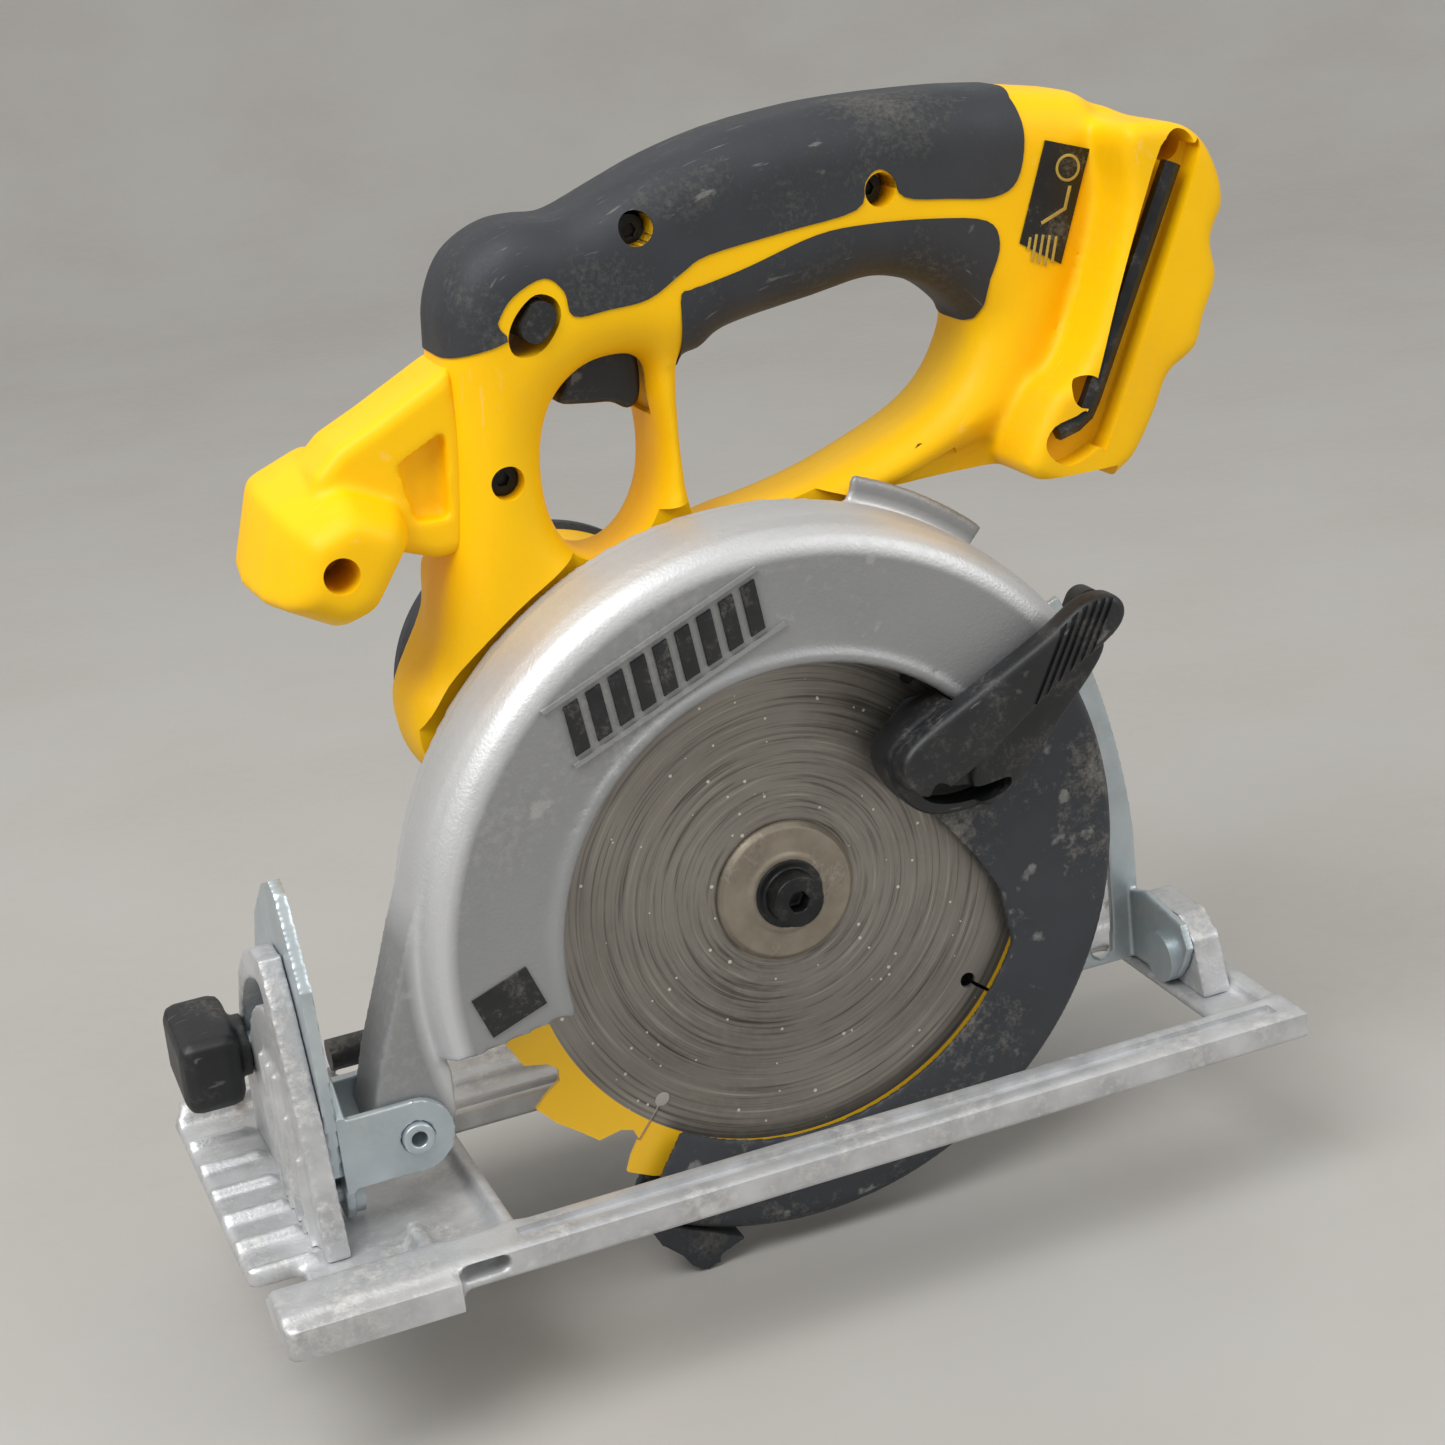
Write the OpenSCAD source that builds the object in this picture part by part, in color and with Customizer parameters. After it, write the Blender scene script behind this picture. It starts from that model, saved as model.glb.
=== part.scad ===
// Cordless circular saw, battery removed, blade on the left.
// Origin: centre of the blade. +X to the battery end, +Y from blade to motor, +Z up.
// The soleplate lies level; the saw is set to a shallow cut at 90 degrees.

/* [Blade] */
// Diameter of the blade over the tooth tips
blade_d = 165; // [150:1:165]
// Thickness of the blade plate
blade_t = 1.2; // [1:0.1:1.6]
// Number of teeth on the blade
blade_teeth = 16; // [12:1:24]
// Diameter of the blade's centre hole
blade_bore = 15.9; // [10:0.1:16]

/* [Guards] */
// Outer radius of the fixed upper guard
upper_guard_r = 98; // [97:0.5:99]
// Radius of the round window in the upper guard's face
guard_window_r = 62.8; // [60:0.1:64]
// Outer radius of the swinging lower guard
lower_guard_r = 91.6; // [90:0.1:92]
// How far the lower guard swings open, in degrees
guard_swing = 104; // [90:1:105]

/* [Housing] */
// Distance of the handle's parting plane from the blade
handle_mid = 32; // [31:0.5:33]
// Thickness of the handle across the saw
handle_t = 36; // [34:0.5:36]
// Width of the battery foot across the saw
foot_w = 72; // [68:0.5:72]
// Wall thickness of the plastic shells
shell_t = 3; // [2.5:0.1:3.4]
// Outer radius of the motor housing
motor_r = 40; // [39:0.5:40]
// Where the motor housing ends, measured from the blade
motor_end = 96; // [92:1:98]

/* [Soleplate] */
// Length of the soleplate along the cut
shoe_len = 274; // [270:1:276]
// Width of the soleplate across the cut
shoe_w = 122; // [120:1:124]
// Height of the blade centre over the soleplate's underside
arbor_h = 58.5; // [58:0.1:59]
// Thickness of the cast soleplate at its ribs
shoe_t = 6.5; // [6:0.1:6.5]

/* [Gears] */
// Teeth on the motor pinion
pinion_teeth = 12; // [12:1:12]
// Teeth on the large intermediate gear
mid_teeth_large = 36; // [36:1:36]
// Teeth on the small intermediate gear
mid_teeth_small = 16; // [16:1:16]
// Teeth on the spindle gear
spindle_teeth = 32; // [32:1:32]

/* [Hidden] */
$fn = 72;
eps = 0.01;

// Places shared by several pieces
handle_near = handle_mid - handle_t / 2;
handle_far = handle_mid + handle_t / 2;
foot_near = handle_mid - foot_w / 2;
foot_far = handle_mid + foot_w / 2;
belly_near = 21;
shoe_bottom = -arbor_h;
shoe_top = shoe_bottom + shoe_t;
shoe_front = -151;
shoe_rear = shoe_front + shoe_len;
shoe_near = -45;
shoe_far = shoe_near + shoe_w;
pin_x = -104;
pin_z = -34;
bevel_z = -48;
gear_angle = 125.7;
gear_pitch = (pinion_teeth + mid_teeth_large) / 2;
mid_x = gear_pitch * cos(gear_angle);
mid_z = gear_pitch * sin(gear_angle);
motor_x = 2 * gear_pitch * cos(gear_angle);
motor_z = 2 * gear_pitch * sin(gear_angle);
case_far = 50;
strip_r = 202;
strip_w = 24;
bolt_angle = 12.5;
bolt_x = pin_x + strip_r * cos(bolt_angle);
bolt_z = pin_z + strip_r * sin(bolt_angle);

yellow = "#f4b400";
black = "#26282c";
cast = "#b4b6b8";
zinc = "#c3ccd0";
steel = "#8d8a84";
charcoal = "#33363b";

// ---------- helpers ----------

// A flat outline in X and Z, made solid from y0 to y1
module slab(y0, y1) {
    translate([0, y1, 0]) rotate([90, 0, 0]) linear_extrude(y1 - y0) children();
}

// A round bar along Y
module bar(x, z, y0, y1, r) {
    slab(y0, y1) translate([x, z]) circle(r);
}

// A flat outline in Y and Z, made solid from x0 to x1
module plate(x0, x1) {
    translate([x0, 0, 0]) rotate([90, 0, 90]) linear_extrude(x1 - x0) children();
}

// A round bar along X
module bar_x(y, z, x0, x1, r) {
    translate([x0, y, z]) rotate([0, 90, 0]) cylinder(h = x1 - x0, r = r);
}

// A pie slice of a disc between two radii, angles from +X towards +Z
module sector(r0, r1, a0, a1) {
    steps = ceil((a1 - a0) / 30);
    far = r1 / cos((a1 - a0) / steps / 2) + 1;
    difference() {
        intersection() {
            circle(r1);
            polygon(concat([[0, 0]],
                [for (i = [0:steps])
                    far * [cos(a0 + (a1 - a0) * i / steps), sin(a0 + (a1 - a0) * i / steps)]]));
        }
        circle(r0);
    }
}

// A turned ring about the blade's axis; the profile is [radius, distance towards the viewer's side]
module turned(points, a0, a1) {
    rotate([90, 0, 0]) rotate([0, 0, a0]) rotate_extrude(angle = a1 - a0) polygon(points);
}

// A spur gear with straight-sided teeth of module 1
module spur(x, z, teeth, y0, y1, turn) {
    root = teeth / 2 - 1.15;
    tip = teeth / 2 + 0.9;
    step = 360 / teeth;
    slab(y0, y1) translate([x, z]) rotate(turn) polygon([for (i = [0:teeth - 1])
        for (p = [[-0.36, root], [-0.13, tip], [0.13, tip], [0.36, root]])
            p[1] * [cos((i + p[0]) * step), sin((i + p[0]) * step)]]);
}

// ---------- blade and spindle ----------

// One tooth with its gullet, as the outline of the blade
function tooth_points(i) =
    let (step = 360 / blade_teeth, a = 209.7 + i * step, r = blade_d / 2)
    [
        (r) * [cos(a), sin(a)],
        (r - 1.2) * [cos(a + 5), sin(a + 5)],
        (r - 3.2) * [cos(a + 10), sin(a + 10)],
        (r - 4) * [cos(a + step - 8.5), sin(a + step - 8.5)],
        (r - 9) * [cos(a + step - 6), sin(a + step - 6)],
        (r - 10.5) * [cos(a + step - 3.6), sin(a + step - 3.6)],
        (r - 9) * [cos(a + step - 1.4), sin(a + step - 1.4)],
        (r - 4) * [cos(a + step - 0.9), sin(a + step - 0.9)]
    ];

module saw_blade() color(steel) difference() {
    slab(-blade_t / 2, blade_t / 2)
        polygon([for (i = [0:blade_teeth - 1]) each tooth_points(i)]);
    bar(0, 0, -1, 1, blade_bore / 2);
    for (k = [0:3]) {
        a = 231.1 + 90 * k;
        bar(61.8 * cos(a), 61.8 * sin(a), -1, 1, 2.1);
        slab(-1, 1) rotate(a) translate([62, -0.5]) square([12, 1]);
    }
}

module inner_flange() color("#a39d8f")
    turned([[4.97, -5.2], [14, -5.2], [18.5, -2.4], [18.5, -blade_t / 2], [7.9, -blade_t / 2],
        [7.9, blade_t / 2 - 0.1], [4.97, blade_t / 2 - 0.1]], 0, 360);

module outer_flange() color("#a39d8f")
    turned([[4.2, 0.62], [18.5, 0.62], [18.5, 1.6], [17, 3], [11, 3], [10, 3.6], [4.2, 3.6]], 0, 360);

module blade_bolt() color("#2b2c2e") difference() {
    union() {
        bar(0, 0, -10.4, -4.4, 6.7);
        bar(0, 0, -4.4, -3.62, 9);
        bar(0, 0, -3.62, 12, 3);
    }
    slab(-11, -6) circle(r = 2.9, $fn = 6);
}

module spindle() color("#9a9a9a") difference() {
    union() {
        bar(0, 0, 5.2, 16.2, 4.97);
        bar(0, 0, 16.2, 20.4, 7);
        bar(0, 0, 20.4, 29.4, 6);
        bar(0, 0, 29.4, 44.8, 3.97);
    }
    bar(0, 0, -1, 12.5, 3);
}

module spindle_gear() color("#7c7f82") difference() {
    spur(0, 0, spindle_teeth, 22, 29, gear_angle);
    bar(0, 0, 21, 30, 6);
}

module intermediate_gear() color("#7c7f82") {
    half_small = 180 / mid_teeth_small;
    spur(mid_x, mid_z, mid_teeth_small, 22.2, 30, gear_angle + half_small);
    spur(mid_x, mid_z, mid_teeth_large, 30, 36, gear_angle);
    bar(mid_x, mid_z, 19.5, 22.2, 2.97);
    bar(mid_x, mid_z, 36, 41, 2.97);
}

module spindle_bearings() color("#9fa3a8") {
    turned([[5, -8], [13, -8], [13, -16], [5, -16]], 0, 360);
    turned([[4, -38], [11, -38], [11, -45], [4, -45]], 0, 360);
}

// ---------- motor ----------

module armature() color("#6f655a") {
    bar(motor_x, motor_z, 29.5, 94, 2.97);
    spur(motor_x, motor_z, pinion_teeth, 30.2, 37, gear_angle + 180 / pinion_teeth);
    slab(62, 78) translate([motor_x, motor_z]) difference() {
        circle(15);
        for (k = [0:7]) rotate(45 * k) translate([12, -1]) square([5, 2]);
    }
}

module commutator() color("#b06a3a") difference() {
    bar(motor_x, motor_z, 80, 88, 7.5);
    bar(motor_x, motor_z, 79, 89, 3);
}

module motor_fan() color("#2c2d30") difference() {
    union() {
        bar(motor_x, motor_z, 53, 54.5, 30);
        bar(motor_x, motor_z, 53, 59, 6);
        for (k = [0:11])
            slab(54.4, 59) translate([motor_x, motor_z]) rotate(30 * k)
                translate([12, -0.8]) square([17, 1.6]);
    }
    bar(motor_x, motor_z, 52, 60, 3);
}

module motor_magnets() color("#4a4d52") for (side = [0, 180])
    slab(60.5, 79.5) translate([motor_x, motor_z]) rotate(side) sector(16.2, 37, 25, 155);

// Plate that closes the motor, with two brush arms
module brush_holder() color("#c7a24a") difference() {
    union() {
        bar(motor_x, motor_z, 89.5, motor_end - 0.3, motor_r - shell_t);
        for (side = [0, 180]) slab(80.5, 90) translate([motor_x, motor_z]) rotate(side)
            translate([7.9, -3.5]) square([24, 7]);
    }
    bar(motor_x, motor_z, 89, motor_end, 9.5);
}

module armature_bearings() color("#9fa3a8") {
    translate([motor_x, 0, motor_z]) turned([[3, -43], [9.5, -43], [9.5, -49.8], [3, -49.8]], 0, 360);
    translate([motor_x, 0, motor_z]) turned([[3, -89.5], [9.5, -89.5], [9.5, -95.5], [3, -95.5]], 0, 360);
}

module motor_housing() color(yellow) difference() {
    bar(motor_x, motor_z, case_far, motor_end - 6, motor_r);
    bar(motor_x, motor_z, case_far - 1, motor_end, motor_r - shell_t);
    for (k = [0:5]) slab(70, 84) translate([motor_x, motor_z]) rotate(-75 + 12 * k)
        translate([motor_r - 4, -1.3]) square([8, 2.6]);
}

module bumper_ring() color(black) translate([motor_x, 0, motor_z])
    turned([[motor_r - 3, 6 - motor_end], [motor_r, 6 - motor_end], [motor_r + 1.6, 4.6 - motor_end],
        [motor_r + 1.6, 1 - motor_end], [motor_r, -motor_end], [motor_r - 3, -motor_end]], 0, 360);

module motor_end_cap() color(yellow) difference() {
    translate([motor_x, 0, motor_z])
        turned([[0, -motor_end], [motor_r - 0.5, -motor_end], [motor_r - 4, -motor_end - 5],
            [motor_r - 14, -motor_end - 7.5], [0, -motor_end - 8]], 0, 360);
    for (k = [-3:3]) translate([motor_x + k * 7, motor_end + 4, motor_z])
        cube([2.6, 20, 34 - 5 * abs(k)], center = true);
    for (k = [0:2]) translate([motor_x, 0, motor_z]) rotate([0, -90 - 120 * k, 0])
        translate([32, 0, 0]) rotate([-90, 0, 0]) {
            cylinder(h = 120, r = 1.5);
            translate([0, 0, motor_end + 5]) cylinder(h = 10, r = 3.2);
        }
}

module end_cap_screws() color("#3a3b3d") for (k = [0:2]) {
    a = 90 + 120 * k;
    bar(motor_x + 32 * cos(a), motor_z + 32 * sin(a), motor_end + 5, motor_end + 7.4, 3);
    bar(motor_x + 32 * cos(a), motor_z + 32 * sin(a), motor_end + eps, motor_end + 5, 1.5);
}

// ---------- upper guard and gear case ----------

module guard_post_outline() polygon([[-90, 36], [-99, 14], [-104, 0], [-110, -16], [-114, -30],
    [-112, -42], [-104, -45], [-96, -42], [-93, -32], [-92, -12], [-90, 10], [-88, 30]]);

module upper_guard() color(cast) difference() {
    union() {
        // Face, rolled lip, broad shoulder and drum
        turned([[guard_window_r, 12], [guard_window_r, 15.4], [63.6, 16.4], [65.2, 16.4], [66.6, 15],
            [90, 15], [93.6, 13.4], [96, 10.4], [97.5, 6], [upper_guard_r, 0], [upper_guard_r, -9],
            [96.8, -10], [96.8, -16], [93.5, -16], [93.5, 7], [91.5, 10.5], [88.5, 12]], 36, 190);
        // Back wall and hub
        slab(13, 15.9) sector(0, 95, 22, 188);
        bar(0, 0, 12.9, 16, 21);
        // Post that carries the pivot pin
        difference() {
            slab(-7.5, 11.5) guard_post_outline();
            bar(0, 0, -12, 13, 95);
        }
        // Tab at the rear top
        slab(13.1, 15.8) sector(91, 104, 48, 70);
    }
    bar(0, 0, 12, 17, 17.3);
    bar(pin_x, pin_z, -9, 13, 4.05);
    for (k = [0:3]) bar(26 * cos(50 + 26 * k), 26 * sin(50 + 26 * k), 12, 17, 2.3);
}

// Plain raised slanted bars, in place of any lettering
module guard_nameplate() color("#2c2d31") translate([-29, 0, 70]) rotate([0, -22.2, 0])
    slab(-16, -15) for (k = [-3:3]) translate([k * 7.8, 0])
        polygon([[-3.4, -5], [0.2, -5], [3.4, 5], [-0.2, 5]]);

module guard_badge() color(black) translate([-78, 0, -3.4]) rotate([0, -20, 0])
    slab(-15.6, -15) translate([-7.6, -5.6]) square([15.2, 11.2]);

module case_outline() {
    circle(20.2);
    translate([mid_x, mid_z]) circle(21.5);
    translate([motor_x, motor_z]) circle(motor_r - 2);
    polygon([[-14, -14], [14, -14], [12, 44], [-4, 70], [-60, 58], [-52, 12]]);
}

module gear_case() color("#a9abad") difference() {
    union() {
        slab(21, case_far) case_outline();
        slab(16, 21) intersection() {
            case_outline();
            circle(60);
        }
        bar(0, 0, 5.9, 16, 17);
        // Boss for the spindle lock
        bar_x(25.5, -8, -30, -10, 5.5);
        // Arm out to the depth clamp
        slab(22, 28) polygon([[10, -13], [bolt_x, bolt_z - 8], [bolt_x, bolt_z + 8], [10, 16]]);
        bar(bolt_x, bolt_z, 21, 30, 9);
    }
    bar(0, 0, 5, 8, 5.6);
    bar(0, 0, 8, 16, 13);
    bar(0, 0, 15.9, 22, 8.2);
    bar(0, 0, 21.4, 31, 17.9);
    bar(0, 0, 30.9, 38.1, 7);
    bar(0, 0, 38, 45, 11);
    bar(mid_x, mid_z, 19.4, 22, 3);
    bar(mid_x, mid_z, 21.9, 30.1, 10);
    bar(mid_x, mid_z, 29.8, 36.4, 19.9);
    bar(mid_x, mid_z, 36, 41.2, 3);
    bar(motor_x, motor_z, 29.2, 37.3, 8);
    bar(motor_x, motor_z, 37, 43.1, 5);
    bar(motor_x, motor_z, 43, 51, 9.5);
    bar(bolt_x, bolt_z, 20, 31, 3.05);
    for (k = [0:3]) bar(26 * cos(50 + 26 * k), 26 * sin(50 + 26 * k), 15.9, 19, 2);
    // Spindle lock bore, open to the spindle gear
    bar_x(25.5, -8, -40, -15, 3.05);
}

module guard_screws() color("#3a3b3d") for (k = [0:3]) {
    bar(26 * cos(50 + 26 * k), 26 * sin(50 + 26 * k), 11, 13, 3.6);
    bar(26 * cos(50 + 26 * k), 26 * sin(50 + 26 * k), 13, 18.9, 2);
}

module pivot_pin() color("#b9bcbe") difference() {
    union() {
        bar(pin_x, pin_z, -12.2, 14.8, 4);
        bar(pin_x, pin_z, 14.7, 16.3, 5.6);
    }
    bar(pin_x, pin_z, -13, -4, 2);
}

// ---------- handle housing ----------

// Side outline of grip, front column and trigger guard
module grip_outline() polygon([[-61, 147], [-59, 158], [-53, 167], [-43, 172], [-35, 172], [-28, 171],
    [-14, 177], [-1, 181], [17, 185], [39, 187], [60, 186.5], [80, 185], [100, 182], [112, 178], [114, 150],
    [104, 128], [92, 112], [78, 108], [66, 112], [58, 108], [40, 106], [20, 98], [-2, 88], [-20, 82],
    [-40, 74], [-60, 44], [-76, 40], [-82, 50], [-81, 62], [-74, 70], [-70, 84], [-66, 100], [-63, 124]]);

module belly_outline() polygon([[-74, 40], [-50, 30], [-20, 30], [10, 44], [40, 58], [72, 74], [92, 85],
    [112, 100], [128, 130], [132, 160], [118, 176], [96, 176], [76, 139], [72, 130], [68, 118], [60, 109],
    [45, 102], [28, 95], [0, 92], [-20, 86], [-44, 86], [-66, 92], [-70, 78], [-80, 60], [-80, 48]]);

module hand_loop() polygon([[-4, 92], [-4, 132], [2, 134], [9, 138.5], [33, 142], [50, 144], [64, 139],
    [72, 133], [75, 128], [72, 120], [67, 113], [59, 107], [45, 101], [28, 95], [14, 92]]);

module trigger_loop() polygon([[-40, 100], [-41, 112], [-39, 123], [-34, 131], [-25, 136], [-13, 135],
    [-12, 125], [-11, 113], [-13, 101], [-19, 91], [-27, 87], [-35, 90]]);

module foot_outline() polygon([[76, 95], [84, 88], [96, 84], [100, 88], [106, 92], [113, 103], [117, 111],
    [125, 116], [128, 124], [132, 133], [131, 143], [135, 152], [132, 164], [126, 171], [116, 174],
    [108, 172], [108, 155], [99, 128], [91, 115], [84, 111]]);

// Plate with its two long edges stepped in, so that it reads as rounded
module soft_slab(y0, y1, r) {
    for (s = [0:2]) {
        inset = [r, r * 0.42, r * 0.12][s];
        depth = [0, r * 0.3, r * 0.65][s];
        slab(y0 + depth, y1 - depth) offset(delta = -inset) children();
    }
    slab(y0 + r, y1 - r) children();
}

module housing_solid() {
    difference() {
        union() {
            soft_slab(handle_near, handle_far, 7) difference() {
                grip_outline();
                hand_loop();
                trigger_loop();
            }
            slab(belly_near, handle_far) difference() {
                belly_outline();
                hand_loop();
                trigger_loop();
            }
            soft_slab(foot_near, foot_far, 5) foot_outline();
        }
        // Room for the guard drum, the gear case and the depth strip
        bar(0, 0, -20, belly_near, 98.4);
        slab(13, case_far + 1) case_outline();
        translate([pin_x, 0, pin_z]) slab(13, belly_near) sector(188, 216, -10, 43);
        // Battery socket
        battery_pocket();
        // Wrench pocket on the near side
        slab(foot_near - 1, foot_near + 7) wrench_channel();
        for (s = housing_screw_places) bar(s[0], s[1], -10, handle_mid - 9, 4.2);
        // Lock-off hole through the nose
        slab(handle_near - 10, handle_far + 10) lock_off_outline();
    }
}

module lock_off_outline() hull() {
    translate([-38.5, 151.5]) circle(r = 4.4, $fn = 32);
    translate([-42.5, 146.5]) circle(r = 4.4, $fn = 32);
}

// Hollow inside of the shells
module housing_hollow() {
    difference() {
        union() {
            slab(handle_near + shell_t + 2.5, handle_far - shell_t - 2.5) offset(delta = -shell_t - 2.5)
                difference() {
                    grip_outline();
                    hand_loop();
                    trigger_loop();
                }
            slab(handle_near + shell_t + 2.5, handle_far - shell_t - 2.5) offset(delta = -shell_t)
                intersection() {
                    foot_outline();
                    translate([70, 110]) square([70, 70]);
                }
        }
        // Solid ring round the lock-off hole
        slab(handle_near, handle_far) offset(delta = 2.4) lock_off_outline();
        for (s = housing_screw_places) bar(s[0], s[1], 0, 70, 4.6);
        translate([68, 0, 40]) cube([60, 90, 50]);
        battery_wall();
    }
}

// Battery socket, opening to the rear and down
socket_tilt = 36;
module socket_box(len, width, high, back) {
    translate([118, handle_mid, 122]) rotate([0, socket_tilt, 0])
        translate([-back, -width / 2, -high / 2]) cube([len, width, high]);
}
module battery_pocket() socket_box(40, 52, 44, 12);
module battery_wall() socket_box(60, 58, 50, 15);

housing_screw_places = [[-13, 166], [49, 166], [-52, 113], [93, 111], [122, 167]];

module top_region() polygon([[-90, 147], [-51, 146], [-49, 153], [-44, 158], [-37, 160], [-33, 156],
    [-31, 150], [-13, 151], [-4, 156], [3, 159.5], [43, 163], [45, 169], [49, 172], [53, 170], [55, 164],
    [79, 160], [85, 163], [88, 174], [88, 182], [84, 200], [-90, 200]]);

module lower_region() polygon([[-3, 130], [-4, 149], [3, 151.5], [14, 153.5], [32, 158], [46, 158.5],
    [76, 155], [81, 149], [79, 141], [72, 128], [40, 120], [2, 124]]);

module rubber_depth() difference() {
    slab(-20, 90) square([500, 500], center = true);
    slab(handle_near + 2.5, handle_far - 2.5) offset(delta = -2.5) difference() {
        grip_outline();
        hand_loop();
        trigger_loop();
    }
}

module grip_top_overmould() color(black) intersection() {
    housing_solid();
    slab(-20, 90) top_region();
    rubber_depth();
}

module grip_lower_overmould() color(black) intersection() {
    housing_solid();
    slab(-20, 90) lower_region();
    rubber_depth();
}

module shell_solid() difference() {
    housing_solid();
    housing_hollow();
    intersection() {
        union() {
            slab(-20, 90) top_region();
            slab(-20, 90) lower_region();
        }
        rubber_depth();
    }
    for (s = housing_screw_places) bar(s[0], s[1], -10, handle_mid + 12, 2);
    // Trigger slot and the bore of its pivot
    bar(-27.5, 141.5, handle_mid - 9.8, handle_mid + 9.8, 1.55);
    slab(handle_mid - 7.2, handle_mid + 7.2)
        polygon([[-36, 120], [-36, 152.6], [-9.5, 152.6], [-9.5, 120]]);
}

module housing_near_shell() color(yellow) intersection() {
    shell_solid();
    slab(-30, handle_mid) square([600, 600], center = true);
}

module housing_far_shell() color(yellow) intersection() {
    shell_solid();
    slab(handle_mid, 110) square([600, 600], center = true);
}

module housing_screws() color("#303134") for (s = housing_screw_places) difference() {
    union() {
        bar(s[0], s[1], handle_mid - 12, handle_mid - 9, 3.8);
        bar(s[0], s[1], handle_mid - 9, handle_mid + 11, 1.95);
    }
    slab(handle_mid - 13, handle_mid - 10.5) translate([s[0], s[1]]) circle(r = 1.9, $fn = 6);
}

module instruction_label() color("#1d1c1c") slab(handle_near - 0.4, handle_near)
    polygon([[95, 171], [107, 167], [97, 140], [86, 147]]);

module wrench_channel() {
    hull() {
        translate([121, 163]) circle(r = 5, $fn = 24);
        translate([95, 105]) circle(r = 5, $fn = 24);
    }
    hull() {
        translate([95, 105]) circle(r = 5, $fn = 24);
        translate([86, 100]) circle(r = 5, $fn = 24);
    }
}

module front_pommel() color(yellow) difference() {
    union() {
        translate([-97, 0, 105]) turned([[0, -6], [14, -6], [19, -9], [22, -15], [22.5, -34], [21, -50],
            [16, -57], [0, -60]], 0, 360);
        // Arm back to the column
        slab(22, 42) polygon([[-84, 122], [-62.6, 138], [-66.5, 97], [-80, 97]]);
    }
    bar(-97, 103, 0, 30, 4.4);
    bar(-97, 103, 0, 50, 2.05);
    slab(handle_near, handle_far) grip_outline();
}

module pommel_screw() color("#303134") {
    bar(-97, 103, 27, 30, 3.8);
    bar(-97, 103, 30, 49.9, 2);
}

module switch_module() color("#3a2f2a") slab(24, 40)
    polygon([[-28, 157.5], [-28, 152], [-6, 152], [-6, 158], [-20, 163]]);

module terminal_block() color("#2b2c2e") socket_box(3, 34, 30, 12);

module battery_terminals() color("#c49a52") for (k = [-1:1])
    translate([118, handle_mid, 122]) rotate([0, socket_tilt, 0])
        translate([-8.99, k * 10 - 0.4, -8]) cube([10, 0.8, 16]);

module motor_leads() color("#8c1d1d") for (k = [0, 1])
    translate([0, 27 + k * 9, 0]) rotate([0, 88, 0]) translate([-170, 0, 4]) cylinder(h = 60, r = 1.2);

// ---------- controls ----------

module trigger() color(black) {
    slab(handle_mid - 6.5, handle_mid + 6.5) polygon([[-33.6, 127], [-31, 133], [-31, 143], [-28, 146],
        [-13.2, 147], [-12.3, 134], [-12.3, 128], [-13.3, 124], [-16, 122.4], [-20, 124.5],
        [-26, 125.5]]);
    bar(-27.5, 141.5, handle_mid - 9.5, handle_mid + 9.5, 1.5);
}

module trigger_spring() color("#9a9a9a") translate([-18, handle_mid, 147.2]) difference() {
    cylinder(h = 4.7, r = 2.6);
    translate([0, 0, -1]) cylinder(h = 6, r = 1.9);
}

module lock_off_button() color(black) slab(handle_near - 1.5, handle_far + 1.5)
    hull() {
        translate([-39, 151]) circle(r = 3.5, $fn = 32);
        translate([-41, 148.5]) circle(r = 3.5, $fn = 32);
    }

module spindle_lock_button() color(black) {
    bar_x(25.5, -8, -34, -19.7, 3);
    bar_x(25.5, -8, -35.5, -32.8, 5);
}

module hex_wrench() color("#232427") {
    wr = 2.5;
    lower = [94, 107];
    upper = [121, 163];
    reach = upper - lower;
    tilt = atan2(reach[0], reach[1]);
    translate([lower[0], foot_near + 2.8, lower[1]]) rotate([0, tilt, 0])
        cylinder(h = norm(reach), r = wr);
    translate([lower[0], foot_near + 2.8, lower[1]]) sphere(wr);
    translate([lower[0], foot_near + 2.8, lower[1]]) rotate([0, tilt + 215, 0]) cylinder(h = 9, r = wr);
}

// ---------- lower guard ----------

guard_a0 = -123;
guard_a1 = 28;

module lower_guard() color(charcoal) difference() {
    union() {
        // Rim and the face towards the blade's open side
        turned([[66.6, 3.2], [66.6, 5.3], [89.6, 5.3], [lower_guard_r, 3.6], [lower_guard_r, -8.5],
            [89.4, -8.5], [89.4, 3.2]], guard_a0, guard_a1);
        slab(-5.2, -3.3) polygon([[72, -30], [60, -31], [58.5, -22], [57, -13], [50, -1], [42, 10],
            [36, 17], [28, 24], [27, 36], [36, 44], [48, 44], [60, 43], [74, 40], [82, 28], [88, 12]]);
        // Motor-side wall with its hub
        slab(6.5, 8.4) sector(0, 90, guard_a0 + 0.6, guard_a1 - 0.6);
        bar(0, 0, 6.2, 10.5, 22);
    }
    bar(0, 0, 5, 12, 17.05);
}

module guard_lever() color(black) {
    // Root loop on the guard's face
    difference() {
        slab(-17.2, -5.3) hull() {
            translate([33, 30]) circle(r = 6.5, $fn = 32);
            translate([50, 22]) circle(r = 6.5, $fn = 32);
        }
        slab(-18, -9) hull() {
            translate([36, 25]) circle(r = 2.4, $fn = 32);
            translate([49, 20]) circle(r = 2.4, $fn = 32);
        }
    }
    // Arm in front of the upper guard, with its ribbed end
    slab(-24, -17.2) polygon([[26, 32], [31, 38], [66, 57.5], [80, 66], [86, 65.5], [88.5, 61],
        [86, 56], [72, 50], [40, 27], [33, 24.5]]);
    slab(-22, -17.2) polygon([[52, 18], [58, 22], [82, 52], [76, 53], [50, 27]]);
    for (k = [0:4]) translate([70.5 + 3.7 * k, -24.9, 58.2 + 2 * k]) rotate([0, -30, 0])
        cube([1.5, 1.8, 6], center = true);
}

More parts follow.
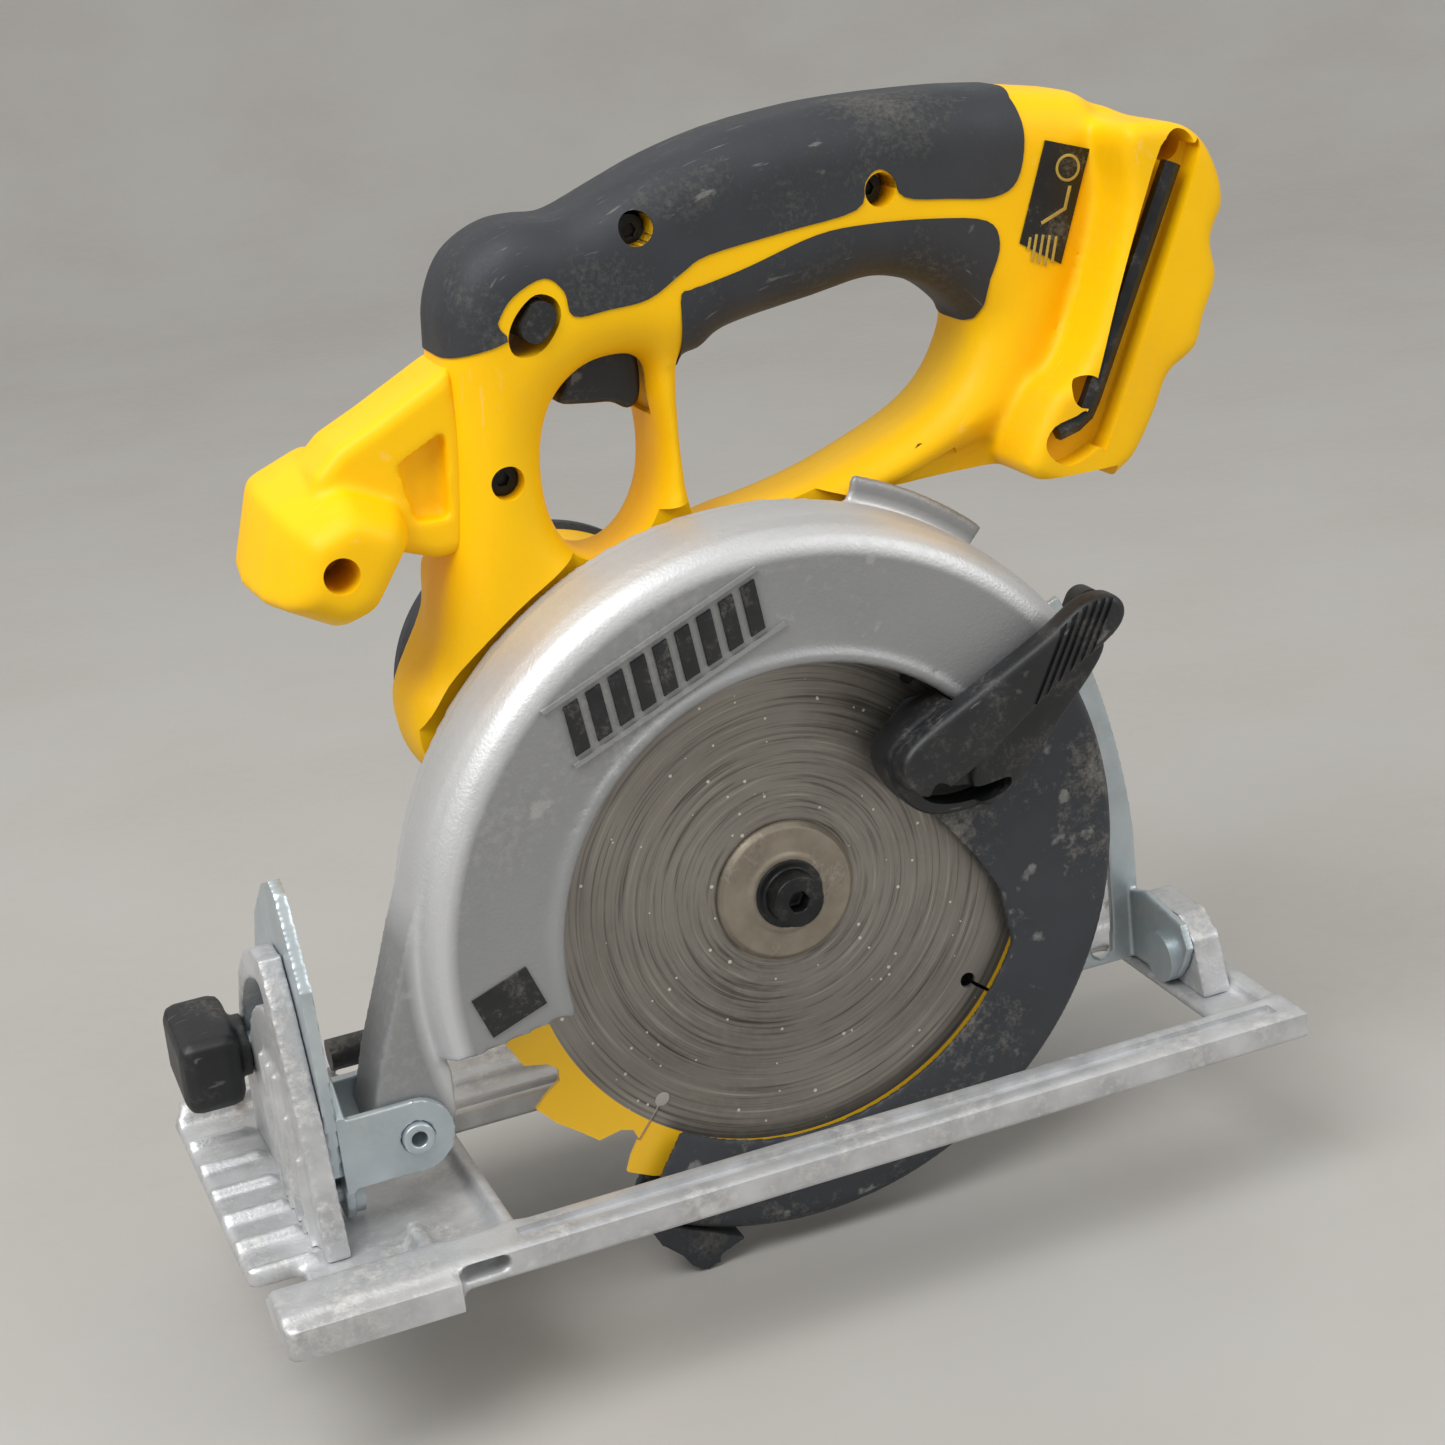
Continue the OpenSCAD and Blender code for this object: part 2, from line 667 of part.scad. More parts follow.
module guard_bumper() color(black) difference() {
    slab(-4, 6.4) polygon([[-22, -91.8], [-46, -80.4], [-45, -87], [-40, -91.5], [-37.5, -95.5],
        [-33.5, -97.5], [-30, -96.5], [-29.5, -94.5], [-27, -93.5]]);
    bar(0, 0, -10, 10, lower_guard_r + 0.02);
}

module guard_spring() color("#9a9a9a") rotate([90, 0, 0]) translate([0, 0, -11.9])
    rotate_extrude() translate([19.1, 0]) circle(r = 0.8, $fn = 16);

// ---------- depth frame ----------

module front_bracket() color(zinc) difference() {
    union() {
        for (y = [[-10.5, -8.1], [12.1, 14.5]]) slab(y[0], y[1]) hull() {
            translate([pin_x, pin_z]) circle(r = 9.5, $fn = 48);
            translate([-123, -43.2]) square([2.4, 18.6]);
        }
        plate(-123, -120.6) polygon([[-10.5, -44], [-10.5, -24], [-3, -17], [14.5, -15], [14.5, -44],
            [8, -44], [6.8, bevel_z - 2], [4, bevel_z - 5.8], [0, bevel_z - 7], [-4, bevel_z - 5.8],
            [-6.8, bevel_z - 2], [-8, -44]]);
    }
    bar(pin_x, pin_z, -12, 16, 4.05);
    bar_x(0, bevel_z, -130, -110, 3.05);
}

module quadrant_plate() color(zinc) difference() {
    plate(-126, -123) polygon([[-9, -40], [-13, -10], [-11, 10], [1, 31], [6, 33], [18, 28], [36, 14],
        [56, -14], [54, -24], [40, -34], [14, -42]]);
    bar_x(bevel_r * cos(knob_angle), bevel_z + bevel_r * sin(knob_angle), -130, -120, 3.05);
}

bevel_r = 52;
knob_angle = 26;

module slot_arc(r, w, a0, a1) {
    sector(r - w / 2, r + w / 2, a0, a1);
    for (a = [a0, a1]) translate([r * cos(a), r * sin(a)]) circle(w / 2);
}

module depth_strip() color(zinc) difference() {
    union() {
        intersection() {
            translate([pin_x, 0, pin_z]) slab(17.2, 19.4)
                sector(strip_r - strip_w / 2, strip_r + strip_w / 2, -7, 24);
            translate([0, 0, bevel_z - 7.2]) cube([109.4, 100, 200]);
        }
        // Flange bent towards the blade side
        plate(107, 109.4) polygon([[19.4, bevel_z - 7.2], [19.4, -36], [10, -33],
            [-9, -36], [-12, -42], [-9.2, bevel_z], [-5.5, bevel_z - 4.6], [-3, bevel_z - 6.5],
            [0, bevel_z - 7.2]]);
    }
    translate([pin_x, 0, pin_z]) slab(10, 25) slot_arc(strip_r, 6.4, bolt_angle - 17, bolt_angle + 8.5);
    bar_x(0, bevel_z, 100, 115, 3.05);
}

module depth_bolt() color("#8b8e90") union() {
    bar(bolt_x, bolt_z, 14.4, 17, 6);
    bar(bolt_x, bolt_z, 17, 37, 3);
}

module depth_lever() color(black) difference() {
    slab(30.2, 36) hull() {
        translate([bolt_x, bolt_z]) circle(r = 8, $fn = 48);
        translate([bolt_x + 14, bolt_z + 34]) circle(r = 4.5, $fn = 32);
    }
    bar(bolt_x, bolt_z, 30, 37, 3.05);
}

module bevel_knob() color(black) difference() {
    ky = bevel_r * cos(knob_angle);
    kz = bevel_z + bevel_r * sin(knob_angle);
    union() {
        bar_x(ky, kz, -135.5, -132.2, 8);
        intersection() {
            bar_x(ky, kz, -151, -135.5, 14.5);
            translate([-143.25, ky, kz]) rotate([10, 0, 0]) cube([15.5, 25, 21], center = true);
        }
    }
    bar_x(ky, kz, -146, -130, 3.05);
}

module bevel_stud() color("#8b8e90") {
    ky = bevel_r * cos(knob_angle);
    kz = bevel_z + bevel_r * sin(knob_angle);
    bar_x(ky, kz, -145, -121.5, 3);
    bar_x(ky, kz, -123, -121, 5.5);
}

module bevel_rivets() color("#b9bcbe") {
    bar_x(0, bevel_z, -131.8, -118.6, 3);
    bar_x(0, bevel_z, -120.6, -118.2, 6);
    bar_x(0, bevel_z, 105.4, 118, 3);
    bar_x(0, bevel_z, 105, 107, 7);
    bevel_stud();
}

// ---------- soleplate ----------

module shoe() color(cast) difference() {
    union() {
        // Plate
        translate([shoe_front, shoe_near + 30, shoe_bottom])
            cube([shoe_len, shoe_w - 30, 3]);
        translate([shoe_front + 2, shoe_near, shoe_bottom]) cube([shoe_len - 2, 30.5, 3]);
        // Frame of upright ribs round the plate
        for (y = [shoe_near, shoe_far - 4])
            translate([shoe_front + 2, y, shoe_bottom])
                cube([shoe_len - 2, y == shoe_near ? 13 : 4, shoe_t + 1.5]);
        translate([shoe_rear - 5, shoe_near, shoe_bottom]) cube([5, shoe_w, shoe_t]);
        translate([-92, shoe_near, shoe_bottom]) cube([4, shoe_w, shoe_t]);
        translate([-112, shoe_near, shoe_bottom]) cube([4, 29, shoe_t]);
        // Lengthwise ribs on the front plate and beside the window
        for (k = [0:6]) translate([shoe_front, -16 + k * 14.5, shoe_bottom]) cube([16.8, 2.2, 5.6]);
        for (k = [0:2]) translate([-88, 38 + k * 12, shoe_bottom]) cube([208, 2.2, 5.6]);
        translate([-88, 30, shoe_bottom]) cube([172, 3, shoe_t]);
        // Boss for the fence clamp screw
        translate([-96, 58, shoe_bottom]) cube([8, 16, 20]);
        // Front finger at the near side
        translate([shoe_front + 2, shoe_near - 5, shoe_bottom - 2]) cube([42, 20, shoe_t + 2]);
    }
    bar_x(66, -44, -97, -80, 2.55);
    // Blade window
    translate([-88, -32, -80]) cube([193.5, 62, 60]);
    // Kerf notch at the front edge
    translate([-160, -25, -80]) cube([22, 8, 60]);
    // Rip fence slot across the plate, behind the quadrant
    translate([-107, shoe_near - 10, shoe_bottom + 3]) cube([13.1, 140, 3.4]);
    // Chamfered near front corner
    translate([-151, -52, -80]) rotate([0, 0, 45]) cube([8, 8, 60], center = true);
}

module bevel_quadrant() color(cast) difference() {
    union() {
        plate(-132, -126.2) polygon([[-20, shoe_bottom + 3], [-12, -22], [-2, 4], [4, 14.5], [14, 14],
            [26, 9], [40, -2], [52, -18], [58, -32], [60, shoe_bottom + 3]]);
        // Vertical ribs
        for (k = [0:4]) plate(-134, -132) translate([-10 + 7 * k, shoe_bottom + 3])
            square([2, min(24 + 8 * k, 40)]);
    }
    translate([0, 0, bevel_z]) plate(-140, -120) slot_arc(bevel_r, 6.6, knob_angle - 1, knob_angle + 52);
    bar_x(0, bevel_z, -140, -120, 3.05);
}

module rear_upright() color(cast) difference() {
    plate(109.6, 117.8) polygon([[-16, shoe_bottom + 3], [-11, -40], [-4, -35], [14, -35],
        [20, -42], [24, shoe_bottom + 3]]);
    bar_x(0, bevel_z, 100, 125, 3.05);
}

module fence_clamp_screw() color("#2b2c2e") {
    bar_x(66, -44, -109, -96.4, 4.3);
    bar_x(66, -44, -97, -84, 2.5);
}

upper_guard();
guard_nameplate();
guard_badge();
gear_case();
guard_screws();
housing_near_shell();
housing_far_shell();
grip_top_overmould();
grip_lower_overmould();
front_pommel();
pommel_screw();
housing_screws();
instruction_label();
switch_module();
terminal_block();
battery_terminals();
motor_leads();
motor_housing();
bumper_ring();
motor_end_cap();
end_cap_screws();
motor_magnets();
brush_holder();
armature_bearings();
spindle_bearings();
pivot_pin();
saw_blade();
inner_flange();
outer_flange();
blade_bolt();
spindle();
spindle_gear();
intermediate_gear();
armature();
commutator();
motor_fan();
lower_guard();
guard_lever();
guard_bumper();
guard_spring();
trigger();
trigger_spring();
lock_off_button();
spindle_lock_button();
hex_wrench();
front_bracket();
quadrant_plate();
depth_strip();
depth_lever();
depth_bolt();
bevel_knob();
bevel_rivets();
shoe();
bevel_quadrant();
rear_upright();
fence_clamp_screw();
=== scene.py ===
import math
import bpy
import numpy as np
from mathutils import Matrix, Vector


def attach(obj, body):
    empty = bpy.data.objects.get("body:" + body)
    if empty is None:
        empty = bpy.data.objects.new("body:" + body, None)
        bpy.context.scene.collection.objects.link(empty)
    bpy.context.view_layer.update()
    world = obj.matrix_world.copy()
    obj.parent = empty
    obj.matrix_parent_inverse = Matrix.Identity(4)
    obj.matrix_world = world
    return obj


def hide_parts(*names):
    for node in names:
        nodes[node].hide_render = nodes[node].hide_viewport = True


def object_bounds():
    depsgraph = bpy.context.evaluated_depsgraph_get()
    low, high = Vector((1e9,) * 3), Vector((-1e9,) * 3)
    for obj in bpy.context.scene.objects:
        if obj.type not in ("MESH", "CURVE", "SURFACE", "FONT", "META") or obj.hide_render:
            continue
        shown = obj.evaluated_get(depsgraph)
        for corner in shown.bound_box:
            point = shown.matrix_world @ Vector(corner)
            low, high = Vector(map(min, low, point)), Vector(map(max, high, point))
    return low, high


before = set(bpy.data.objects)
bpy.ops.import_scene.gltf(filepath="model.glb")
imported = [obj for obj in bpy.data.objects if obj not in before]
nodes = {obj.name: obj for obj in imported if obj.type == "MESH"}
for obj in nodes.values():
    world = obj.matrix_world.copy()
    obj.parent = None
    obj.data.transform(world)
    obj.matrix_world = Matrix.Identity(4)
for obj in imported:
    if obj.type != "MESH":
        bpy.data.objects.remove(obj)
cad_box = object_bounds()

# ---------------------------------------------------------------------------
# Studio: a bowl-edged floor of worn pale laminate, one large soft lamp above on
# the left, a weak one on the right and a pale room all round. The camera stands
# in front of the blade, a little above it.
# ---------------------------------------------------------------------------
MM = 0.001


def linear(code):
    """Turns an sRGB hex colour into the linear colour a shader takes."""
    parts = [int(code[i:i + 2], 16) / 255 for i in (1, 3, 5)]
    return tuple(c / 12.92 if c <= 0.04045 else ((c + 0.055) / 1.055) ** 2.4 for c in parts) + (1.0,)


def add(material, kind, settings=None, inputs=None):
    """Adds one node with its settings, its input values and its links."""
    made = material.node_tree.nodes.new(kind)
    for name, value in (settings or {}).items():
        setattr(made, name, value)
    for key, value in (inputs or {}).items():
        if isinstance(value, bpy.types.NodeSocket):
            material.node_tree.links.new(value, made.inputs[key])
        else:
            made.inputs[key].default_value = value
    return made


def worn(name, colour, second, dust="#c9c2b4", patch=25, grain=0.6, rough=(0.45, 0.65), metal=0.0,
         bump=0.05, dusty=0.25, scratches=0.0, specular=0.5):
    """A used surface: two tones in soft patches, fine grain in colour and height, dust in specks and
    patches, and thin bright scratches. Sizes are in millimetres."""
    mat = bpy.data.materials.new(name)
    mat.use_nodes = True
    shader = mat.node_tree.nodes["Principled BSDF"]
    place = add(mat, "ShaderNodeTexCoord").outputs["Object"]
    patches = add(mat, "ShaderNodeTexNoise", None, {"Vector": place, "Scale": 1000 / patch, "Detail": 6.0})
    fine = add(mat, "ShaderNodeTexNoise", None, {"Vector": place, "Scale": 1000 / grain, "Detail": 3.0})
    spread = add(mat, "ShaderNodeMapRange", None,
                 {"Value": patches.outputs["Fac"], "From Min": 0.35, "From Max": 0.65})
    tone = add(mat, "ShaderNodeMix", {"data_type": "RGBA"},
               {0: spread.outputs["Result"], 6: linear(colour), 7: linear(second)})
    specks = add(mat, "ShaderNodeTexNoise", None,
                 {"Vector": place, "Scale": 1000 / (grain * 3), "Detail": 8.0, "Roughness": 0.75})
    veil = add(mat, "ShaderNodeMath", {"operation": "MULTIPLY"},
               {0: specks.outputs["Fac"], 1: patches.outputs["Fac"]})
    dust_mask = add(mat, "ShaderNodeMapRange", None,
                    {"Value": veil.outputs["Value"], "From Min": 0.27, "From Max": 0.45, "To Max": dusty})
    dusted = add(mat, "ShaderNodeMix", {"data_type": "RGBA"},
                 {0: dust_mask.outputs["Result"], 6: tone.outputs[2], 7: linear(dust)})
    colour_out = dusted.outputs[2]
    if scratches:
        turned = add(mat, "ShaderNodeMapping", None,
                     {"Vector": place, "Rotation": (0.4, 0.9, 0.3), "Scale": (18, 300, 18)})
        lines = add(mat, "ShaderNodeTexNoise", None,
                    {"Vector": turned.outputs["Vector"], "Scale": 6.0, "Detail": 4.0})
        thin = add(mat, "ShaderNodeMapRange", None,
                   {"Value": lines.outputs["Fac"], "From Min": 0.66, "From Max": 0.72, "To Max": scratches})
        colour_out = add(mat, "ShaderNodeMix", {"data_type": "RGBA"},
                         {0: thin.outputs["Result"], 6: colour_out, 7: linear("#e8e6e0")}).outputs[2]
    mat.node_tree.links.new(colour_out, shader.inputs["Base Color"])
    roughness = add(mat, "ShaderNodeMapRange", None,
                    {"Value": veil.outputs["Value"], "From Min": 0.15, "From Max": 0.4,
                     "To Min": rough[0], "To Max": rough[1]})
    mat.node_tree.links.new(roughness.outputs["Result"], shader.inputs["Roughness"])
    height = add(mat, "ShaderNodeBump", None,
                 {"Height": fine.outputs["Fac"], "Distance": bump * MM, "Strength": 1.0})
    mat.node_tree.links.new(height.outputs["Normal"], shader.inputs["Normal"])
    shader.inputs["Metallic"].default_value = metal
    shader.inputs["Specular IOR Level"].default_value = specular
    return mat


FLOOR_RADIUS = 1.4
RIM_STEPS = 12
RIM_RISE = 0.011
RIM_GROWTH = 0.12
floor_level = cad_box[0][2] - 0.0003
bpy.ops.object.select_all(action="DESELECT")
bpy.ops.mesh.primitive_circle_add(vertices=96, radius=FLOOR_RADIUS, fill_type="NGON", location=(0, 0, floor_level))
floor = bpy.context.object
floor.name = "floor"
bpy.ops.object.mode_set(mode="EDIT")
bpy.ops.mesh.select_mode(type="EDGE")
bpy.ops.mesh.select_all(action="SELECT")
bpy.ops.mesh.region_to_loop()
for step in range(1, RIM_STEPS + 1):
    bpy.ops.mesh.extrude_edges_move(TRANSFORM_OT_translate={"value": (0, 0, RIM_RISE * step)})
    grow = 1 + RIM_GROWTH / (FLOOR_RADIUS + 0.14 * step)
    bpy.ops.transform.resize(value=(grow, grow, 1))
bpy.ops.object.mode_set(mode="OBJECT")
bpy.ops.object.shade_smooth()
bpy.ops.object.transform_apply(location=True, rotation=True, scale=True)
# Laminate: pale grey in very faint large patches, hardly any dirt or scratches
floor.data.materials.append(worn("Worn pale laminate", "#afada9", "#aba8a4", "#918e89", patch=120, grain=2.5,
                                 rough=(0.35, 0.5), bump=0.02, dusty=0.05, scratches=0.04))

camera = bpy.data.objects.new("camera", bpy.data.cameras.new("camera"))
bpy.context.scene.collection.objects.link(camera)
camera.data.lens = 67.2
camera.data.sensor_width = 36.0
camera.data.clip_end = 20.0
right = Vector((0.92314, -0.36854, -0.10949))
up = Vector((0.22250, 0.27988, 0.93390))
back = Vector((-0.31353, -0.88648, 0.34036))
turn = Matrix((right, up, back)).transposed().to_4x4()
camera.matrix_world = Matrix.Translation((-0.21757, -0.58403, 0.27153)) @ turn
bpy.context.scene.camera = camera
# The plain view keeps the yellow as saturated as the real plastic
bpy.context.scene.view_settings.view_transform = "Standard"

for name, place, aim, size, power in (
        ("lamp_left", (-0.8, -0.4, 1.3), (0, 0, 0.05), 1.1, 22.0),
        ("lamp_right", (1.1, -0.9, 0.8), (0, 0, 0.0), 0.9, 6.0)):
    lamp = bpy.data.objects.new(name, bpy.data.lights.new(name, "AREA"))
    bpy.context.scene.collection.objects.link(lamp)
    lamp.data.size = size
    lamp.data.energy = power
    lamp.location = place
    lamp.rotation_euler = (Vector(aim) - Vector(place)).to_track_quat("-Z", "Y").to_euler()
world = bpy.data.worlds.new("room")
bpy.context.scene.world = world
world.use_nodes = True
world.node_tree.nodes["Background"].inputs["Color"].default_value = linear("#f3f2ef")
world.node_tree.nodes["Background"].inputs["Strength"].default_value = 0.74

# ---------------------------------------------------------------------------
# Blade: ground carbon steel, rubbed in fine rings by the work, flecked with
# mortar dust, and painted yellow outside the ring that the guard hides.
# ---------------------------------------------------------------------------
blade = worn("Ground saw steel", "#96918a", "#827d76", dust="#cfc8bb", patch=40, grain=0.8,
             rough=(0.30, 0.5), metal=0.7, bump=0.02, dusty=0.15)


def paint(material, *names):
    """Gives pieces of the frame their material."""
    for name in names:
        mesh = nodes[name].data
        mesh.materials.clear()
        mesh.materials.append(material)


def by_radius(material, low, high, colour, soft=0.05, metal=0.0):
    """Adds a band of another finish to a round piece, between two radii about the blade's axis."""
    tree = material.node_tree
    shader = tree.nodes["Principled BSDF"]
    old = shader.inputs["Base Color"].links[0].from_socket
    place = add(material, "ShaderNodeTexCoord").outputs["Object"]
    flat = add(material, "ShaderNodeVectorMath", {"operation": "MULTIPLY"}, {0: place, 1: (1, 0, 1)})
    far = add(material, "ShaderNodeVectorMath", {"operation": "LENGTH"}, {0: flat.outputs["Vector"]}).outputs["Value"]
    after = add(material, "ShaderNodeMapRange", None,
                {"Value": far, "From Min": (low - soft) * MM, "From Max": (low + soft) * MM})
    before = add(material, "ShaderNodeMapRange", None,
                 {"Value": far, "From Min": (high + soft) * MM, "From Max": (high - soft) * MM})
    both = add(material, "ShaderNodeMath", {"operation": "MULTIPLY"}, {0: after.outputs[0], 1: before.outputs[0]})
    mixed = add(material, "ShaderNodeMix", {"data_type": "RGBA"}, {0: both.outputs[0], 6: old, 7: linear(colour)})
    tree.links.new(mixed.outputs[2], shader.inputs["Base Color"])
    bare = add(material, "ShaderNodeMapRange", None, {
        "Value": both.outputs[0], "To Min": shader.inputs["Metallic"].default_value, "To Max": metal})
    tree.links.new(bare.outputs["Result"], shader.inputs["Metallic"])


def ring_marks(material, dark, light, amount):
    """Adds fine rubbing marks that run round the blade's axis, dark and light, broken along their length."""
    tree = material.node_tree
    shader = tree.nodes["Principled BSDF"]
    old = shader.inputs["Base Color"].links[0].from_socket
    place = add(material, "ShaderNodeTexCoord").outputs["Object"]
    split = add(material, "ShaderNodeSeparateXYZ", None, {"Vector": place})
    flat = add(material, "ShaderNodeCombineXYZ", None, {"X": split.outputs["X"], "Z": split.outputs["Z"]})
    far = add(material, "ShaderNodeVectorMath", {"operation": "LENGTH"}, {0: flat.outputs["Vector"]}).outputs["Value"]
    across = add(material, "ShaderNodeMath", {"operation": "MULTIPLY"}, {0: far, 1: 1100.0})
    way = add(material, "ShaderNodeVectorMath", {"operation": "NORMALIZE"}, {0: flat.outputs["Vector"]})
    apart = add(material, "ShaderNodeSeparateXYZ", None, {"Vector": way.outputs["Vector"]})
    polar = add(material, "ShaderNodeCombineXYZ", None,
                {"X": across.outputs[0], "Y": apart.outputs["X"], "Z": apart.outputs["Z"]})
    marks = add(material, "ShaderNodeTexNoise", None, {"Vector": polar.outputs["Vector"], "Scale": 1.0, "Detail": 5.0,
                                                       "Roughness": 0.65})
    for low, high, tone in ((0.52, 0.70, dark), (0.44, 0.28, light)):
        mask = add(material, "ShaderNodeMapRange", None,
                   {"Value": marks.outputs["Fac"], "From Min": low, "From Max": high, "To Max": amount})
        old = add(material, "ShaderNodeMix", {"data_type": "RGBA"},
                  {0: mask.outputs["Result"], 6: old, 7: linear(tone)}).outputs[2]
    spots = add(material, "ShaderNodeTexVoronoi", None, {"Vector": place, "Scale": 420.0})
    chance = add(material, "ShaderNodeSeparateXYZ", None, {"Vector": spots.outputs["Color"]})
    limit = add(material, "ShaderNodeMapRange", None,
                {"Value": chance.outputs["X"], "From Min": 0.75, "From Max": 1.0, "To Max": 0.22})
    fleck = add(material, "ShaderNodeMath", {"operation": "LESS_THAN"},
                {0: spots.outputs["Distance"], 1: limit.outputs["Result"]})
    old = add(material, "ShaderNodeMix", {"data_type": "RGBA"},
              {0: fleck.outputs[0], 6: old, 7: linear("#d9d5cb")}).outputs[2]
    tree.links.new(old, shader.inputs["Base Color"])


paint(blade, "saw_blade")
ring_marks(blade, "#3e3a36", "#b3ada2", 0.85)
by_radius(blade, 68.0, 90, "#f5c022")

# ---------------------------------------------------------------------------
# Flanges and bolt: pressed steel dulled by dust, and a blackened bolt with a
# hexagon socket that clamps them. Their edges are rounded as pressing leaves them.
# ---------------------------------------------------------------------------


def only(*objects):
    """Selects these objects alone."""
    bpy.ops.object.select_all(action="DESELECT")
    for one in objects:
        one.select_set(True)
    bpy.context.view_layer.objects.active = objects[0]


def settle(piece):
    """Puts a piece's place into its mesh, merges doubles and turns its faces outwards."""
    only(piece)
    bpy.ops.object.transform_apply(location=True, rotation=True, scale=True)
    bpy.ops.object.mode_set(mode="EDIT")
    bpy.ops.mesh.select_all(action="SELECT")
    bpy.ops.mesh.remove_doubles(threshold=0.000002)
    bpy.ops.mesh.normals_make_consistent(inside=False)
    bpy.ops.object.mode_set(mode="OBJECT")
    return piece


def apply_modifier(piece, kind, **settings):
    """Adds a modifier with its settings and applies it."""
    only(piece)
    made = piece.modifiers.new("step", kind)
    for name, value in settings.items():
        setattr(made, name, value)
    bpy.ops.object.modifier_apply(modifier=made.name)
    return piece


def join(*pieces):
    only(*pieces)
    bpy.ops.object.join()
    return bpy.context.object


def copy_of(piece, name):
    twin = piece.copy()
    twin.data = piece.data.copy()
    twin.name = name
    bpy.context.scene.collection.objects.link(twin)
    return twin


def combine(piece, other, how, keep=False, solver="MANIFOLD"):
    """Cuts, joins or crosses one solid with another."""
    apply_modifier(piece, "BOOLEAN", object=other, operation=how, solver=solver)
    if not keep:
        bpy.data.objects.remove(other)
    return piece


def finish_piece(piece, name, material, body, *replaced, angle=35):
    """Names a finished piece, gives it its material, attaches it to the body it rides on and hides the CAD parts it
    replaces.
    """
    piece.name = name
    piece.data.materials.clear()
    piece.data.materials.append(material)
    only(piece)
    bpy.ops.object.shade_smooth_by_angle(angle=math.radians(angle))
    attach(piece, body)
    if replaced:
        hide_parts(*replaced)
    return piece


def recast(node, name, voxel, rounds, material, body, carve=()):
    """A copy of a CAD solid with its sharp edges rounded off as a casting or pressing has them."""
    only(nodes[node])
    twin = copy_of(nodes[node], name)
    twin.parent = None
    twin.matrix_world = Matrix()
    settle(twin)
    apply_modifier(twin, "REMESH", mode="VOXEL", voxel_size=voxel * MM)
    apply_modifier(twin, "SMOOTH", factor=0.5, iterations=rounds)
    for tool in carve:
        combine(twin, tool, "DIFFERENCE")
    finish_piece(twin, name, material, body, node, angle=50)
    return twin


flange_steel = worn("Pressed flange steel", "#9c9384", "#857c6e", patch=9, grain=0.5, rough=(0.4, 0.6), metal=0.6,
                    dusty=0.5)
paint(flange_steel, "inner_flange", "outer_flange")
black_steel = worn("Black oxide steel", "#1c1d1f", "#2b2c2e", patch=8, grain=0.4, rough=(0.3, 0.5), metal=0.5,
                   dusty=0.15)
paint(black_steel, "blade_bolt", "guard_screws", "pommel_screw", "housing_screws", "end_cap_screws", "hex_wrench")
recast("outer_flange", "outer_flange_pressed", 0.4, 2, flange_steel, "blade_shaft")
recast("blade_bolt", "blade_bolt_turned", 0.35, 2, black_steel, "blade_shaft")

# ---------------------------------------------------------------------------
# Shaft, gears and motor inside: turned and ground steel, copper bars, stamped
# brass contacts and red sleeved wires, all clean because the case is closed.
# ---------------------------------------------------------------------------
gear_steel = worn("Turned gear steel", "#8b8b88", "#74736f", patch=10, grain=0.4, rough=(0.25, 0.4), metal=0.9,
                  dusty=0.1)
paint(gear_steel, "spindle", "spindle_gear", "intermediate_gear", "spindle_bearings", "armature_bearings",
      "armature", "motor_magnets", "guard_spring", "trigger_spring")
paint(worn("Copper bars", "#b0683a", "#8f5330", patch=5, grain=0.4, metal=0.9, rough=(0.25, 0.4), dusty=0.1),
      "commutator")
paint(worn("Stamped brass", "#c29a4c", "#a98441", patch=6, grain=0.4, metal=0.9, rough=(0.25, 0.4), dusty=0.1),
      "battery_terminals", "brush_holder")
paint(worn("Red wire sleeve", "#8c1d1d", "#7a1818", patch=6, grain=0.4, dusty=0.1), "motor_leads")

# ---------------------------------------------------------------------------
# Upper guard and gear case: die-cast magnesium alloy, blasted to a light grey, with a
# painted highlight round its up-facing shoulder, partly rubbed bare metal. Plain black bars
# stand between two cast rails, and a zinc-plated pin joins its front post to the depth frame.
# ---------------------------------------------------------------------------
cast = worn("Blasted die casting", "#959697", "#8b8c8d", dust="#c9c8c5", patch=45, grain=0.8, rough=(0.38, 0.55),
            metal=0.35, bump=0.10, dusty=0.30, scratches=0.15)
# Painted highlight: a lighter, more metallic band 90.5 to 99 mm from the blade's axis, where the shoulder faces the
# light; partly rubbed metal
by_radius(cast, 90.5, 99, "#c8c9ca", 1.5, 0.5)
paint(cast, "upper_guard", "gear_case")
plate_paint = worn("Black plate paint", "#151618", "#202124", patch=8, grain=0.4, rough=(0.3, 0.5), dusty=0.2)
paint(plate_paint, "guard_nameplate", "guard_badge")


def rod(name, start, end, radius, sides=32):
    """A round bar between two points in millimetres."""
    a, b = Vector(start) * MM, Vector(end) * MM
    bpy.ops.object.select_all(action="DESELECT")
    bpy.ops.mesh.primitive_cylinder_add(vertices=sides, radius=radius * MM, depth=(b - a).length,
                                        location=(a + b) / 2)
    made = bpy.context.object
    made.name = name
    made.rotation_euler = (b - a).to_track_quat("Z", "Y").to_euler()
    return settle(made)


def block(name, centre, size, turn=(0, 0, 0)):
    """A box by its centre, size and turn, in millimetres and degrees."""
    bpy.ops.object.select_all(action="DESELECT")
    bpy.ops.mesh.primitive_cube_add(size=1, location=Vector(centre) * MM, rotation=[math.radians(t) for t in turn])
    made = bpy.context.object
    made.name = name
    made.scale = Vector(size) * MM
    return settle(made)


def flowing(loop, steps=4):
    """A closed outline passed through its points as one smooth line."""
    count = len(loop)
    line = []
    for i in range(count):
        a, b, c, d = (Vector(loop[(i + k) % count]) for k in (-1, 0, 1, 2))
        for step in range(steps):
            t = step / steps
            line.append(tuple(0.5 * (2 * b + (c - a) * t + (2 * a - 5 * b + 4 * c - d) * t * t
                                     + (3 * b - a - 3 * c + d) * t ** 3)))
    return line


